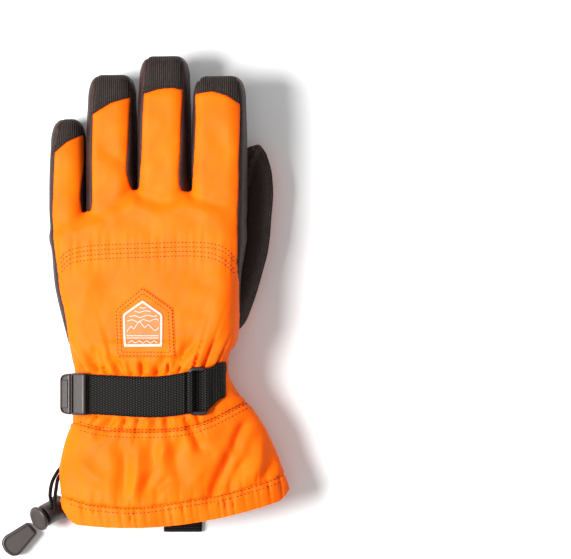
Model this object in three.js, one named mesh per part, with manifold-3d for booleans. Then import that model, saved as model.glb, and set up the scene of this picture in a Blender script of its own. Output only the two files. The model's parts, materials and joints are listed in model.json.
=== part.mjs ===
// Left-hand insulated ski glove with a gauntlet cuff, lying palm down. Millimetres, +Z up, fingers along +Y,
// thumb towards +X. The hand and thumb rest tilted: the thumb lies under the index side of the palm.
import * as THREE from "three";
import { mergeVertices } from "three/addons/utils/BufferGeometryUtils.js";
import Module from "manifold-3d";

const wasm = await Module();
wasm.setup();

// ---- driving dimensions ----
const GAP = 0.3; // clearance between neighbouring pieces
const SKIN = 1.5; // thickness of the sewn outer panels
const LINER = { outer: 1.8, inner: 4.2 }; // depth of the insulated liner below the outer surface
const CUFF_LINER = { outer: 2.8, inner: 4.4 };
const FAR = 220; // reach of a cutting block past the glove

const HAND = { thickness: 30, edge: 10, sideSplit: 8.4 };
const HAND_TILT = 13; // degrees that the index side is raised
const HAND_REST = [3.4, 0, 17.3]; // where the tilted hand frame sits
const FOOTPRINT_CENTRE = [-6.233, 0, 0]; // middle of the footprint without the drawcord, the part's origin
const KNUCKLE_SEAM = 27; // seam between the hand back and the finger backs
const WRIST = { y: -41, middle: 15, bend: 20 }; // wrist axis, its height in the hand, bend each way

// Each finger: side edges, tip, crotch-side hinge line, cap seam and its flexion
const FINGER = {
  low: 2, high: 28, edge: 7, corner: 9, hinge: 11, bend: 70, root: 34, gusset: 3.7, split: 6.4,
};
const FINGERS = [
  { name: "little", left: -78.2, right: -54.6, tip: 113.1, hinge: 78, capSeam: 92 },
  { name: "ring", left: -53.5, right: -21.2, tip: 141.2, hinge: 92, capSeam: 118 },
  { name: "middle", left: -19.6, right: 14.3, tip: 152.8, hinge: 101, capSeam: 129 },
  { name: "index", left: 15.9, right: 51, tip: 139.7, hinge: 106, capSeam: 122 },
];
// Hand outline, anticlockwise from the wrist on the thumb side; it runs on into the cuff
const HAND_OUTLINE = [
  [39, -64], [38.6, -42], [46, -26], [46.5, 10], [50, 38], [43, 56], [15.1, 66.4], [-2, 62],
  [-20.4, 67.6], [-37, 60], [-54, 53.4], [-67, 50], [-77.4, 40], [-76, 26], [-73.5, 2], [-64.5, -38], [-63, -64],
];
// Line that parts the knuckle panel from the strips between the fingers
const CROTCH_LINE = [
  [-90, 38], [-64, 40], [-52.8, 45], [-36, 48], [-20, 58], [-2, 56], [14.8, 57], [30, 50], [70, 36],
];

// Thumb centre line: x, y and half width at each point; it pivots about the middle of its root
const THUMB_LINE = [
  [27, -6, 20], [34, 12, 19.6], [40.4, 35, 19.2], [42.3, 57, 19], [44, 74, 16.8], [46, 84, 13],
];
const THUMB = { top: -0.6, thickness: 20, edge: 7.5, tipReach: 12, backMargin: 4, backDepth: 5 };
const THUMB_HOLE = 13.9;
const GUSSET_RING = { outer: 13.6, inner: 12.2, reach: 4.5 };

// Wrist and cuff sections: left edge, right edge, half height and how far the middle bows towards the hem
const CUFF_SECTIONS = [
  { left: [-61.2, -36, 19], right: [37.5, -36, 38], half: 17, bow: 0 },
  { left: [-60.3, -52, 19.5], right: [38, -51, 36], half: 17, bow: 0 },
  { left: [-60.5, -66, 20], right: [44, -62, 34], half: 17, bow: 2 },
  { left: [-61.4, -79, 20.5], right: [52.5, -70, 31.5], half: 17.5, bow: 4 },
  { left: [-66, -94, 22], right: [62, -84, 29], half: 18, bow: 5 },
  { left: [-69.2, -112, 23], right: [71, -104, 27], half: 19, bow: 6 },
  { left: [-67, -131, 24], right: [74.5, -117, 26], half: 20, bow: 8 },
  { left: [-64.5, -143, 24], right: [77, -126, 26], half: 20, bow: 9 },
];
const CUFF_ROUNDNESS = 2.3; // exponent of the cuff's superelliptic section
const CUFF_SIDES = 20;
const UPPER_SEAM = [
  [-95, -77], [-61.3, -81.3], [-41.7, -85.5], [-13, -86.6], [10.4, -84.9], [28, -79.5], [50, -68.3], [80, -55],
];
const HEM_SEAM = [
  [-95, -122], [-66.6, -128.7], [-48.8, -133.4], [-19.3, -135.2], [10.4, -131], [39.9, -125.6],
  [71.8, -115.6], [95, -105],
];

// Webbing layers, as heights above the cuff
const WEBBING = { under: [0.4, 1.7], bar: [2, 4.6], tail: [2, 3.3], over: [4.9, 6.2] };
const STRAP_EDGE = [
  [-90, -50], [-50, -50.4], [-10, -51.6], [12, -48.6], [27, -47.8], [36, -45], [75, -43],
];
const STRAP_WIDTH = 25.2;
const RING = { left: 12.8, right: 25.8, bar: 2.6, bottom: -76.2, top: -45.4, rail: 2 };
const STRAP_TAIL = { end: -49.4, start: 11 };
const CLIP = { at: [-51.6, -63, 38.2], slope: 32, width: 27, thickness: 6, body: 11.5, tab: 8.2 };

const PULL = {
  left: -3.7, right: 20.8, top: -88, seam: -131, thickness: 1.3, foldHeight: 3, tip: -152.8, end: -133,
};
const LABEL = { left: -15.2, right: -5.2, top: -92, bottom: -126 };

// Cord lock at the hem corner: where it rests, its turn and how steeply its button end rises
const LOCK = {
  at: [-76.5, -139.5, 13], turn: 208, rise: 35, travel: 2.5,
  barrel: 7, rim: 8.1, bore: 4.7, plunger: 4.3, hole: [0.3, 3.7], holeHalf: 3.3, spring: [2.6, 3.8],
};
// Tape from the lock's far end to the hem: its outline in X and Z, where it lies in Y, and its width
const TAPE = {
  outline: [[-67.3, 5.6], [-64.2, 6], [-61.8, 13.9], [-63, 14.2], [-65.2, 7.2], [-67.3, 6.9]],
  y: -132.6,
  width: 5,
};
const GRIP = { at: [-88.2, -149.6, 0.2], turn: 221, length: 22, neck: 4.6, wide: 7.2, thickness: 8.8 };
const CORD_RADIUS = 1.2;
// Routes of the two drawcord strands, from the cuff's side seam through the lock to the grip
const CORD_ROUTES = {
  drawcord_outer: [
    [-71.6, -113.5, 23], [-74.8, -120, 24.5], [-76, -128, 24.5], [-74.9, -135.2, 21.4], [-78.7, -138.8, 14.2],
    [-82.8, -140.9, 7.6], [-85.6, -144.6, 4.9], [-87, -148.1, 4.6],
  ],
  drawcord_inner: [
    [-71, -117.5, 22.5], [-72.2, -124, 24], [-73, -131.5, 24.2], [-72.9, -138.7, 21.2], [-77.1, -141.8, 14.2],
    [-81.2, -143.9, 7.6], [-83.2, -147, 5], [-84.9, -150, 4.6],
  ],
};

const COLOURS = {
  shell: { color: 0xff7414, roughness: 0.62, metalness: 0 },
  leather: { color: 0x3c302d, roughness: 0.7, metalness: 0 },
  ribbed: { color: 0x473d3a, roughness: 0.85, metalness: 0 },
  webbing: { color: 0x141414, roughness: 0.9, metalness: 0 },
  plastic: { color: 0x4a4141, roughness: 0.5, metalness: 0 },
  lining: { color: 0x2b2b30, roughness: 0.95, metalness: 0 },
  elastic: { color: 0xd8d2c8, roughness: 0.9, metalness: 0 },
  badge: { color: 0xff7c1e, roughness: 0.55, metalness: 0 },
  steel: { color: 0xb8bcc0, roughness: 0.3, metalness: 1 },
};

// ---- solids ----
function toSolid(geometry) {
  geometry.deleteAttribute("normal");
  geometry.deleteAttribute("uv");
  const merged = mergeVertices(geometry, 1e-4);
  return new wasm.Manifold(new wasm.Mesh({
    numProp: 3,
    vertProperties: merged.attributes.position.array,
    triVerts: merged.index.array,
  }));
}

function toMesh(name, solid, colour) {
  const { vertProperties, triVerts } = solid.getMesh();
  const geometry = new THREE.BufferGeometry();
  geometry.setAttribute("position", new THREE.BufferAttribute(vertProperties, 3));
  geometry.setIndex(new THREE.BufferAttribute(triVerts, 1));
  geometry.computeVertexNormals();
  const mesh = new THREE.Mesh(geometry, new THREE.MeshStandardMaterial(COLOURS[colour]));
  mesh.name = name;
  return mesh;
}

function join(solids) {
  return solids.reduce((whole, next) => whole.add(next));
}

// A closed outline extruded upwards, with its edges rounded inwards
function pillow(outline, low, high, edge) {
  const shape = new THREE.Shape(outline.map(([x, y]) => new THREE.Vector2(x, y)));
  const geometry = new THREE.ExtrudeGeometry(shape, {
    depth: high - low - 2 * edge,
    bevelEnabled: edge > 0,
    bevelThickness: edge,
    bevelSize: edge,
    bevelOffset: -edge,
    bevelSegments: 2,
  });
  geometry.translate(0, 0, low + edge);
  return toSolid(geometry);
}

// A block over an outline in X and Y
function block(outline, low = -FAR, high = FAR) {
  return pillow(outline, low, high, 0);
}

function box(x, y, z = [-FAR, FAR]) {
  return block([[x[0], y[0]], [x[1], y[0]], [x[1], y[1]], [x[0], y[1]]], z[0], z[1]);
}

// A block over an outline in Y and Z, from one x to another
function sideBlock(outline, x0, x1) {
  const shape = new THREE.Shape(outline.map(([y, z]) => new THREE.Vector2(y, z)));
  const geometry = new THREE.ExtrudeGeometry(shape, { depth: x1 - x0, bevelEnabled: false });
  const axes = [new THREE.Vector3(0, 1, 0), new THREE.Vector3(0, 0, 1), new THREE.Vector3(1, 0, 0)];
  geometry.applyMatrix4(new THREE.Matrix4().makeBasis(...axes));
  geometry.translate(x0, 0, 0);
  return toSolid(geometry);
}

// A closed skin through rings of points, with both ends capped
function loft(rings) {
  const sides = rings[0].length;
  const points = rings.flat().map((point) => point.toArray());
  const faces = [];
  for (let ring = 0; ring + 1 < rings.length; ring += 1) {
    for (let side = 0; side < sides; side += 1) {
      const a = ring * sides + side;
      const b = ring * sides + ((side + 1) % sides);
      faces.push(a, b, a + sides, b, b + sides, a + sides);
    }
  }
  const last = (rings.length - 1) * sides;
  for (let side = 1; side + 1 < sides; side += 1) {
    faces.push(0, side + 1, side, last, last + side, last + side + 1);
  }
  const geometry = new THREE.BufferGeometry();
  geometry.setAttribute("position", new THREE.Float32BufferAttribute(points.flat(), 3));
  geometry.setIndex(faces);
  return toSolid(geometry);
}

// ---- outlines ----
// The outline moved inwards by a depth
function inset(outline, depth) {
  return outline.map((point, i) => {
    const before = outline.at(i - 1);
    const after = outline[(i + 1) % outline.length];
    const first = new THREE.Vector2(point[1] - before[1], before[0] - point[0]).normalize();
    const second = new THREE.Vector2(after[1] - point[1], point[0] - after[0]).normalize();
    const bisector = first.clone().add(second).normalize();
    const reach = depth / Math.max(0.5, bisector.dot(first));
    return [point[0] - bisector.x * reach, point[1] - bisector.y * reach];
  });
}

function roundedBox(x0, x1, y0, y1, radius) {
  const shape = new THREE.Shape();
  shape.moveTo(x0, y0);
  shape.lineTo(x1, y0);
  shape.lineTo(x1, y1 - radius);
  shape.absarc(x1 - radius, y1 - radius, radius, 0, Math.PI / 2);
  shape.absarc(x0 + radius, y1 - radius, radius, Math.PI / 2, Math.PI);
  return shape.getPoints(2).map((p) => [p.x, p.y]).filter((p, i, all) => {
    const next = all[(i + 1) % all.length];
    return Math.hypot(p[0] - next[0], p[1] - next[1]) > 0.01;
  });
}

function thumbOutline(depth) {
  const line = new THREE.CatmullRomCurve3(THUMB_LINE.map((p) => new THREE.Vector3(...p)));
  const right = [];
  const left = [];
  const steps = 6;
  for (let step = 0; step <= steps; step += 1) {
    const point = line.getPoint(step / steps);
    const along = line.getTangent(step / steps).setZ(0).normalize();
    const half = point.z - depth;
    right.push([point.x + along.y * half, point.y - along.x * half]);
    left.unshift([point.x - along.y * half, point.y + along.x * half]);
  }
  const tip = THUMB_LINE.at(-1);
  const half = tip[2] - depth;
  const reach = THUMB.tipReach - depth;
  const nose = [0.75, 0.25, -0.25, -0.75].map((across) => [
    tip[0] + across * half + 2,
    tip[1] + reach * Math.sqrt(1 - across * across),
  ]);
  const root = [];
  for (const angle of [205, 240, 275, 310]) {
    const turn = THREE.MathUtils.degToRad(angle);
    const radius = THUMB_LINE[0][2] - depth;
    root.push([THUMB_LINE[0][0] + radius * Math.cos(turn), THUMB_LINE[0][1] + radius * Math.sin(turn)]);
  }
  return [...right, ...nose, ...left, ...root];
}

// ---- the hand and fingers, in the hand's own flat frame ----
function fingerHull(finger, depth) {
  const outline = roundedBox(finger.left + depth, finger.right - depth, FINGER.root + depth,
    finger.tip - depth, FINGER.corner - depth);
  return pillow(outline, FINGER.low + depth, FINGER.high - depth, FINGER.edge - depth);
}

function handHull(depth) {
  const palm = pillow(inset(HAND_OUTLINE, depth), depth, HAND.thickness - depth, HAND.edge - depth);
  return join([palm, ...FINGERS.map((finger) => fingerHull(finger, depth))]);
}

// Everything past a finger's hinge; the palm side opens as a notch, so that the finger can bend
function pastHinge(finger, side) {
  const slope = Math.tan(THREE.MathUtils.degToRad(FINGER.bend / 2));
  const above = HAND.thickness * 2;
  const below = -HAND.thickness;
  const y = finger.hinge + side * GAP;
  const notch = y + side * slope * (FINGER.hinge - below);
  return sideBlock([[y, above], [y, FINGER.hinge], [notch, below], [FAR, below], [FAR, above]],
    finger.left - 0.5, finger.right + 0.5);
}

// Everything on the hand's side of the wrist axis (side 1) or the cuff's side (side -1)
function wristSide(side) {
  const slope = Math.tan(THREE.MathUtils.degToRad(WRIST.bend / 2));
  const y = WRIST.y + side * GAP / 2;
  const notch = y + side * slope * 60;
  const outline = [[y, WRIST.middle], [notch, WRIST.middle - 60], [side * FAR, WRIST.middle - 60],
    [side * FAR, WRIST.middle + 60], [notch, WRIST.middle + 60]];
  return sideBlock(side > 0 ? outline : outline.reverse(), -FAR, FAR);
}

function strip(line, far) {
  return [...line, [line.at(-1)[0], far], [line[0][0], far]];
}

function backZone(finger, spread) {
  return box([finger.left + FINGER.gusset - spread, finger.right - FINGER.gusset + spread],
    [FINGER.root + 6, FAR], [FINGER.high - FINGER.edge - spread, FAR]);
}

function handParts() {
  const outer = handHull(0);
  const shell = outer.subtract(handHull(SKIN));
  const liner = handHull(LINER.outer).subtract(handHull(LINER.inner));
  const stalls = join(FINGERS.map((finger) => pastHinge(finger, -1)));
  const handOnly = shell.intersect(wristSide(1)).subtract(stalls);
  const hole = new THREE.CylinderGeometry(THUMB_HOLE, THUMB_HOLE, 40, 16).rotateX(Math.PI / 2);
  hole.translate(THUMB_LINE[0][0], THUMB_LINE[0][1], -8);
  const thumbHole = toSolid(hole);
  const sideTop = HAND.sideSplit + GAP;
  const back = box([-FAR, FAR], [-FAR, KNUCKLE_SEAM], [sideTop, FAR]);
  const knuckleEdge = KNUCKLE_SEAM + GAP;
  const ends = [CROTCH_LINE.at(-1)[0], CROTCH_LINE[0][0]];
  const knuckles = block([[ends[0], knuckleEdge], ...[...CROTCH_LINE].reverse(), [ends[1], knuckleEdge]],
    sideTop, FAR);
  const backs = join([knuckles, ...FINGERS.map((finger) => backZone(finger, 0))]);
  const backsAndGap = join([
    block(strip(CROTCH_LINE.map(([x, y]) => [x, y + GAP]), -FAR).reverse(), HAND.sideSplit - 1, FAR),
    ...FINGERS.map((finger) => backZone(finger, GAP)),
  ]);
  const sides = handOnly.subtract(backsAndGap).subtract(box([-FAR, FAR], [-FAR, FAR], [-FAR, sideTop]));
  const middles = FINGERS.map((finger) => (finger.left + finger.right) / 2);
  const between = (x0, x1) => sides.intersect(box([x0, x1], [0, FAR]));
  return [
    toMesh("hand_back", handOnly.intersect(back), "shell"),
    toMesh("finger_backs", handOnly.intersect(backs), "shell"),
    toMesh("palm_leather", handOnly.intersect(box([-FAR, FAR], [-FAR, FAR], [-FAR, HAND.sideSplit]))
      .subtract(thumbHole), "leather"),
    toMesh("fourchette_little_ring", between(middles[0], middles[1]), "leather"),
    toMesh("fourchette_ring_middle", between(middles[1], middles[2]), "leather"),
    toMesh("fourchette_middle_index", between(middles[2], middles[3]), "leather"),
    toMesh("little_outer_side", between(-FAR, middles[0]), "leather"),
    toMesh("index_outer_side", between(middles[3], FAR), "leather"),
    toMesh("hand_liner", liner.intersect(wristSide(1)).subtract(stalls).subtract(thumbHole), "lining"),
    ...FINGERS.flatMap((finger) => fingerParts(finger, shell, liner)),
  ];
}

// The part of a finger beyond its hinge: back, palm side, the strip round its edge, ribbed cap and liner
function fingerParts(finger, shell, liner) {
  const beyond = pastHinge(finger, 1);
  const stall = shell.intersect(beyond);
  const front = box([-FAR, FAR], [0, FAR], [-FAR, FINGER.low + FINGER.split]);
  const cap = (gap) => box([-FAR, FAR], [finger.capSeam - gap, FAR], [FINGER.high - FINGER.edge - gap, FAR]);
  const underside = box([-FAR, FAR], [0, FAR], [-FAR, FINGER.low + FINGER.split + GAP]);
  const taken = join([backZone(finger, GAP), cap(GAP), underside]);
  return [
    toMesh(`${finger.name}_back`, stall.intersect(backZone(finger, 0)).subtract(cap(GAP)), "shell"),
    toMesh(`${finger.name}_front`, stall.intersect(front), "leather"),
    toMesh(`${finger.name}_gusset`, stall.subtract(taken), "leather"),
    toMesh(`${finger.name}_cap`, stall.intersect(cap(0)), "ribbed"),
    toMesh(`${finger.name}_liner`, liner.intersect(beyond), "lining"),
  ];
}

// ---- the thumb, which swings under the palm about its root ----
function thumbHull(depth) {
  const low = THUMB.top - THUMB.thickness;
  return pillow(thumbOutline(depth), low + depth, THUMB.top - depth, THUMB.edge - depth);
}

function thumbParts() {
  const shell = thumbHull(0).subtract(thumbHull(SKIN));
  const liner = thumbHull(LINER.outer).subtract(thumbHull(LINER.inner));
  const opening = new THREE.CylinderGeometry(THUMB_HOLE + GAP, THUMB_HOLE + GAP, 14, 16).rotateX(Math.PI / 2);
  opening.translate(THUMB_LINE[0][0], THUMB_LINE[0][1], 0);
  const hole = toSolid(opening);
  const low = THUMB.top - THUMB.thickness;
  const backPanel = (gap) => block(thumbOutline(THUMB.backMargin - gap), -FAR, low + THUMB.backDepth + gap);
  return [
    toMesh("thumb_leather", shell.subtract(hole).subtract(backPanel(GAP)), "leather"),
    toMesh("thumb_back", shell.intersect(backPanel(0)), "shell"),
    toMesh("thumb_liner", liner.subtract(hole), "lining"),
  ];
}

function thumbGusset() {
  const { outer, inner, reach } = GUSSET_RING;
  const profile = [[inner, -reach], [outer, -reach], [outer, reach], [inner, reach], [inner, -reach]];
  const points = profile.map(([radius, height]) => new THREE.Vector2(radius, height));
  const ring = new THREE.LatheGeometry(points, 16).rotateX(Math.PI / 2);
  ring.translate(THUMB_LINE[0][0], THUMB_LINE[0][1], 0);
  return toMesh("thumb_gusset", toSolid(ring), "leather");
}

// ---- badge on the back of the hand ----
function badge(name, halfWidth, shoulder, apex, bottom, low, high, colour) {
  const middle = -14; // on the tilted back this lies a little right of where it is seen from above
  const left = middle - halfWidth;
  const right = middle + halfWidth;
  const outline = [[left, bottom], [right, bottom], [right, shoulder], [middle, apex], [left, shoulder]];
  return toMesh(name, block(outline, low, high), colour);
}

// ---- wrist and cuff ----
function cuffPoint(section, depth, turn) {
  const shape = (value) => Math.sign(value) * Math.abs(value) ** (2 / CUFF_ROUNDNESS);
  const across = shape(Math.cos(turn));
  const up = shape(Math.sin(turn));
  const left = new THREE.Vector3(...section.left);
  const right = new THREE.Vector3(...section.right);
  const middle = left.clone().add(right).multiplyScalar(0.5);
  const half = right.clone().sub(left).multiplyScalar(0.5);
  const reach = 1 - depth / half.length();
  middle.addScaledVector(half, across * reach);
  middle.y -= section.bow * (1 - across * across);
  middle.z += up * (section.half - depth);
  return middle;
}

function cuffHull(depth) {
  const rings = CUFF_SECTIONS.map((section) => Array.from({ length: CUFF_SIDES }, (_, side) =>
    cuffPoint(section, depth, (side / CUFF_SIDES) * 2 * Math.PI)));
  if (depth > 0) {
    rings.push(rings.at(-1).map((point) => point.clone().add(new THREE.Vector3(0, -20, 0))));
  }
  return loft(rings);
}

// The space above the line that joins the cuff's two side seams
function cuffUpperHalf(lift) {
  const rings = CUFF_SECTIONS.map(({ left, right }) => {
    const sideways = 30;
    return [
      new THREE.Vector3(right[0] + sideways, right[1], right[2] + lift),
      new THREE.Vector3(right[0] + sideways, right[1], right[2] + 70),
      new THREE.Vector3(left[0] - sideways, left[1], left[2] + 70),
      new THREE.Vector3(left[0] - sideways, left[1], left[2] + lift),
    ];
  });
  rings.push(rings.at(-1).map((point) => point.clone().add(new THREE.Vector3(0, -30, 0))));
  return loft(rings);
}

function layer(heights) {
  return cuffHull(-heights[1]).subtract(cuffHull(-heights[0]));
}

function cuffParts(handMatrix) {
  const wrist = wristSide(-1).transform(handMatrix.elements);
  const shell = cuffHull(0).subtract(cuffHull(SKIN)).intersect(wrist);
  const upper = cuffUpperHalf(GAP / 2);
  const lower = cuffUpperHalf(-GAP / 2);
  const aboveSeam = block(strip(UPPER_SEAM, FAR));
  const belowSeam = block(strip(UPPER_SEAM.map(([x, y]) => [x, y - GAP]), -FAR).reverse());
  const aboveHem = block(strip(HEM_SEAM, FAR));
  const belowHem = block(strip(HEM_SEAM.map(([x, y]) => [x, y - GAP]), -FAR).reverse());
  const wristShell = shell.intersect(aboveSeam);
  const cuffShell = shell.intersect(belowSeam).intersect(aboveHem);
  const liner = cuffHull(CUFF_LINER.outer).subtract(cuffHull(CUFF_LINER.inner)).intersect(wrist);
  const elastic = cuffHull(SKIN + GAP).subtract(cuffHull(CUFF_LINER.outer - GAP)).subtract(lower);
  const linerEnd = block(strip(HEM_SEAM.map(([x, y]) => [x, y - 8]), FAR));
  return [
    toMesh("wrist_back", wristShell.intersect(upper), "shell"),
    toMesh("wrist_palm", wristShell.subtract(lower), "shell"),
    toMesh("wrist_elastic", elastic.intersect(box([-54, 34], [-76, -54])), "elastic"),
    toMesh("cuff_back", cuffShell.intersect(upper), "shell"),
    toMesh("cuff_palm", cuffShell.subtract(lower), "shell"),
    toMesh("hem_band", shell.intersect(belowHem), "shell"),
    toMesh("cuff_liner", liner.intersect(linerEnd), "lining"),
  ];
}

// ---- wrist strap ----
function strapBand(x0, x1) {
  const lowerEdge = STRAP_EDGE.map(([x, y]) => [x, y - STRAP_WIDTH]);
  return block([...lowerEdge, ...[...STRAP_EDGE].reverse()]).intersect(box([x0, x1], [-FAR, FAR]));
}

function strapParts() {
  const top = cuffUpperHalf(2);
  const under = layer(WEBBING.under);
  const over = layer(WEBBING.over);
  const riser = layer([WEBBING.under[0], WEBBING.over[1]]);
  const leftBar = RING.left + RING.bar + GAP;
  const rightBar = RING.right - RING.bar - GAP;
  const ringLayer = layer(WEBBING.bar);
  const opening = [RING.left + RING.bar, RING.right - RING.bar];
  const window = box(opening, [RING.bottom + RING.rail, RING.top - RING.rail]);
  const ring = ringLayer.intersect(box([RING.left, RING.right], [RING.bottom, RING.top])).subtract(window);
  const base = join([
    under.intersect(strapBand(-64, leftBar + 1.3)),
    riser.intersect(strapBand(leftBar, leftBar + 1.3)),
    over.intersect(strapBand(RING.left - 1, leftBar + 1.3)),
  ]);
  const anchor = join([
    under.intersect(strapBand(rightBar - 1.3, 60)),
    riser.intersect(strapBand(rightBar - 1.3, rightBar)),
    over.intersect(strapBand(rightBar - 1.3, RING.right + 1.6)),
    layer([WEBBING.tail[0], WEBBING.over[1]]).intersect(strapBand(RING.right + GAP, RING.right + 1.6)),
    layer(WEBBING.tail).intersect(strapBand(RING.right + GAP, 36)),
  ]);
  const tail = layer(WEBBING.tail).intersect(strapBand(STRAP_TAIL.end, STRAP_TAIL.start));
  return [
    toMesh("strap_base", base.intersect(top), "webbing"),
    toMesh("strap_anchor", anchor.intersect(top), "webbing"),
    toMesh("strap_ring", ring.intersect(top), "plastic"),
    toMesh("strap_tail", tail.intersect(top), "webbing"),
  ];
}

// Two-part pull at the end of the strap tail, sloping down past the little-finger side
function clipParts() {
  const clip = new THREE.Group();
  clip.position.set(...CLIP.at);
  clip.rotation.y = -THREE.MathUtils.degToRad(CLIP.slope);
  const half = CLIP.width / 2;
  const t = CLIP.thickness;
  const block = [[-CLIP.body, -half], [-GAP, -half], [-GAP, half], [-CLIP.body, half]];
  const body = pillow(block, -t / 2, t / 2, 1.2);
  const inner = -CLIP.body - GAP;
  const end = inner - CLIP.tab;
  const outline = [[end, -half + 3], [end + 2, -half + 0.8], [inner, -half], [inner, half],
    [end + 2, half - 0.8], [end, half - 3]];
  const tab = pillow(outline, -t / 2 + 0.6, t / 2 - 0.4, 1.2);
  clip.add(toMesh("clip_body", body, "plastic"), toMesh("clip_tab", tab, "plastic"));
  return clip;
}

// ---- pull loop on the palm side of the cuff ----
function pullParts() {
  const palmSide = layer([GAP, GAP + PULL.thickness]).subtract(cuffUpperHalf(0));
  const sewn = palmSide.intersect(box([PULL.left, PULL.right], [PULL.seam, PULL.top]));
  const label = layer([GAP, GAP + 0.6]).subtract(cuffUpperHalf(0))
    .intersect(box([LABEL.left, LABEL.right], [LABEL.bottom, LABEL.top]));
  const flat = (grow) => {
    const half = PULL.foldHeight / 2 - grow;
    const path = new THREE.Shape();
    path.absarc(PULL.tip + PULL.foldHeight / 2, PULL.foldHeight / 2, half, Math.PI / 2, (3 * Math.PI) / 2);
    path.absarc(PULL.end - PULL.foldHeight / 2, PULL.foldHeight / 2, half, -Math.PI / 2, Math.PI / 2);
    return path.getPoints(3).map((p) => [p.x, p.y]).slice(0, -1);
  };
  const loop = sideBlock(flat(0), PULL.left, PULL.right)
    .subtract(sideBlock(flat(PULL.thickness - 0.1), PULL.left - 1, PULL.right + 1));
  return [
    toMesh("pull_strap", sewn, "webbing"),
    toMesh("pull_label", label, "webbing"),
    toMesh("pull_loop", loop, "webbing"),
  ];
}

// ---- drawcord, cord lock and grip ----
function turned(profile) {
  const points = profile.map(([x, radius]) => new THREE.Vector2(radius, x));
  return toSolid(new THREE.LatheGeometry(points, 16).rotateZ(-Math.PI / 2));
}

function lockParts() {
  const lock = new THREE.Group();
  lock.position.set(...LOCK.at);
  lock.rotation.set(0, -THREE.MathUtils.degToRad(LOCK.rise), THREE.MathUtils.degToRad(LOCK.turn), "ZYX");
  const slot = (x0, x1) => box([x0, x1], [-LOCK.holeHalf, LOCK.holeHalf], [-2 * LOCK.rim, 2 * LOCK.rim]);
  const barrel = turned([[-10.5, 0], [-10.5, 7.4], [-8.5, LOCK.rim], [-7, LOCK.rim], [-6.2, LOCK.barrel],
    [4.6, LOCK.barrel], [6, 6.2], [6, LOCK.bore], [-9.2, LOCK.bore], [-9.2, 0]]);
  const button = turned([[-4, 0], [-4, LOCK.plunger], [8.5, LOCK.plunger], [8.5, 7.6], [9.2, LOCK.rim],
    [10.2, LOCK.rim], [11, LOCK.barrel], [11, 0]]);
  const [inner, outer] = LOCK.spring;
  const spring = turned([[-8.9, inner], [-8.9, outer], [-4.3, outer], [-4.3, inner], [-8.9, inner]]);
  const [near, far] = LOCK.hole;
  lock.add(
    toMesh("cord_lock_barrel", barrel.subtract(slot(near, far)), "plastic"),
    toMesh("cord_lock_plunger", button.subtract(slot(near, far + LOCK.travel)), "plastic"),
    toMesh("cord_lock_spring", spring, "steel"),
  );
  return lock;
}

function gripParts() {
  const grip = new THREE.Group();
  grip.position.set(...GRIP.at);
  grip.rotation.z = THREE.MathUtils.degToRad(GRIP.turn);
  const { length, neck, wide, thickness } = GRIP;
  const outline = [[0, -neck], [length - 5, -wide], [length - 1.4, -wide + 2.4], [length, 0],
    [length - 1.4, wide - 2.4], [length - 5, wide], [0, neck]];
  const middle = thickness / 2;
  grip.add(
    toMesh("cord_grip_bottom", pillow(outline, 0, middle - GAP / 2, 1), "plastic"),
    toMesh("cord_grip_top", pillow(outline, middle + GAP / 2, thickness, 1), "plastic"),
  );
  return grip;
}

function cord(name, route) {
  const path = new THREE.CatmullRomCurve3(route.map((point) => new THREE.Vector3(...point)));
  const section = new THREE.Shape();
  section.absarc(0, 0, CORD_RADIUS, 0, 2 * Math.PI);
  const ring = new THREE.Shape(section.getSpacedPoints(8).slice(0, -1));
  const tube = new THREE.ExtrudeGeometry(ring, { steps: 11, extrudePath: path, bevelEnabled: false });
  return toMesh(name, toSolid(tube), "webbing");
}

// Short tape that ties the lock's far end to the underside of the hem corner
function lockTape() {
  const mesh = toMesh("lock_tape", pillow(TAPE.outline, 0, TAPE.width, 0), "webbing");
  mesh.position.y = TAPE.y;
  mesh.rotation.x = Math.PI / 2;
  return mesh;
}

// ---- assembly ----
const hand = new THREE.Group();
hand.position.set(...HAND_REST);
hand.rotation.y = -THREE.MathUtils.degToRad(HAND_TILT);
hand.updateMatrix();
hand.add(
  ...handParts(),
  ...thumbParts(),
  thumbGusset(),
  badge("badge_backing", 17, -9.4, 5.1, -37.6, HAND.thickness + GAP, HAND.thickness + 1, "shell"),
  badge("badge_patch", 12.8, -12.6, -3.2, -32.3, HAND.thickness + 1.3, HAND.thickness + 2.2, "badge"),
);

const glove = new THREE.Group();
glove.position.set(...FOOTPRINT_CENTRE).negate();
glove.add(
  hand,
  ...cuffParts(hand.matrix),
  ...strapParts(),
  clipParts(),
  ...pullParts(),
  lockParts(),
  lockTape(),
  gripParts(),
  ...Object.entries(CORD_ROUTES).map(([name, route]) => cord(name, route)),
);

export default glove;
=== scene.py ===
import json
import math

import bpy
import numpy as np
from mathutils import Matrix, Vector
from mathutils.bvhtree import BVHTree
from mathutils.kdtree import KDTree

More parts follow.
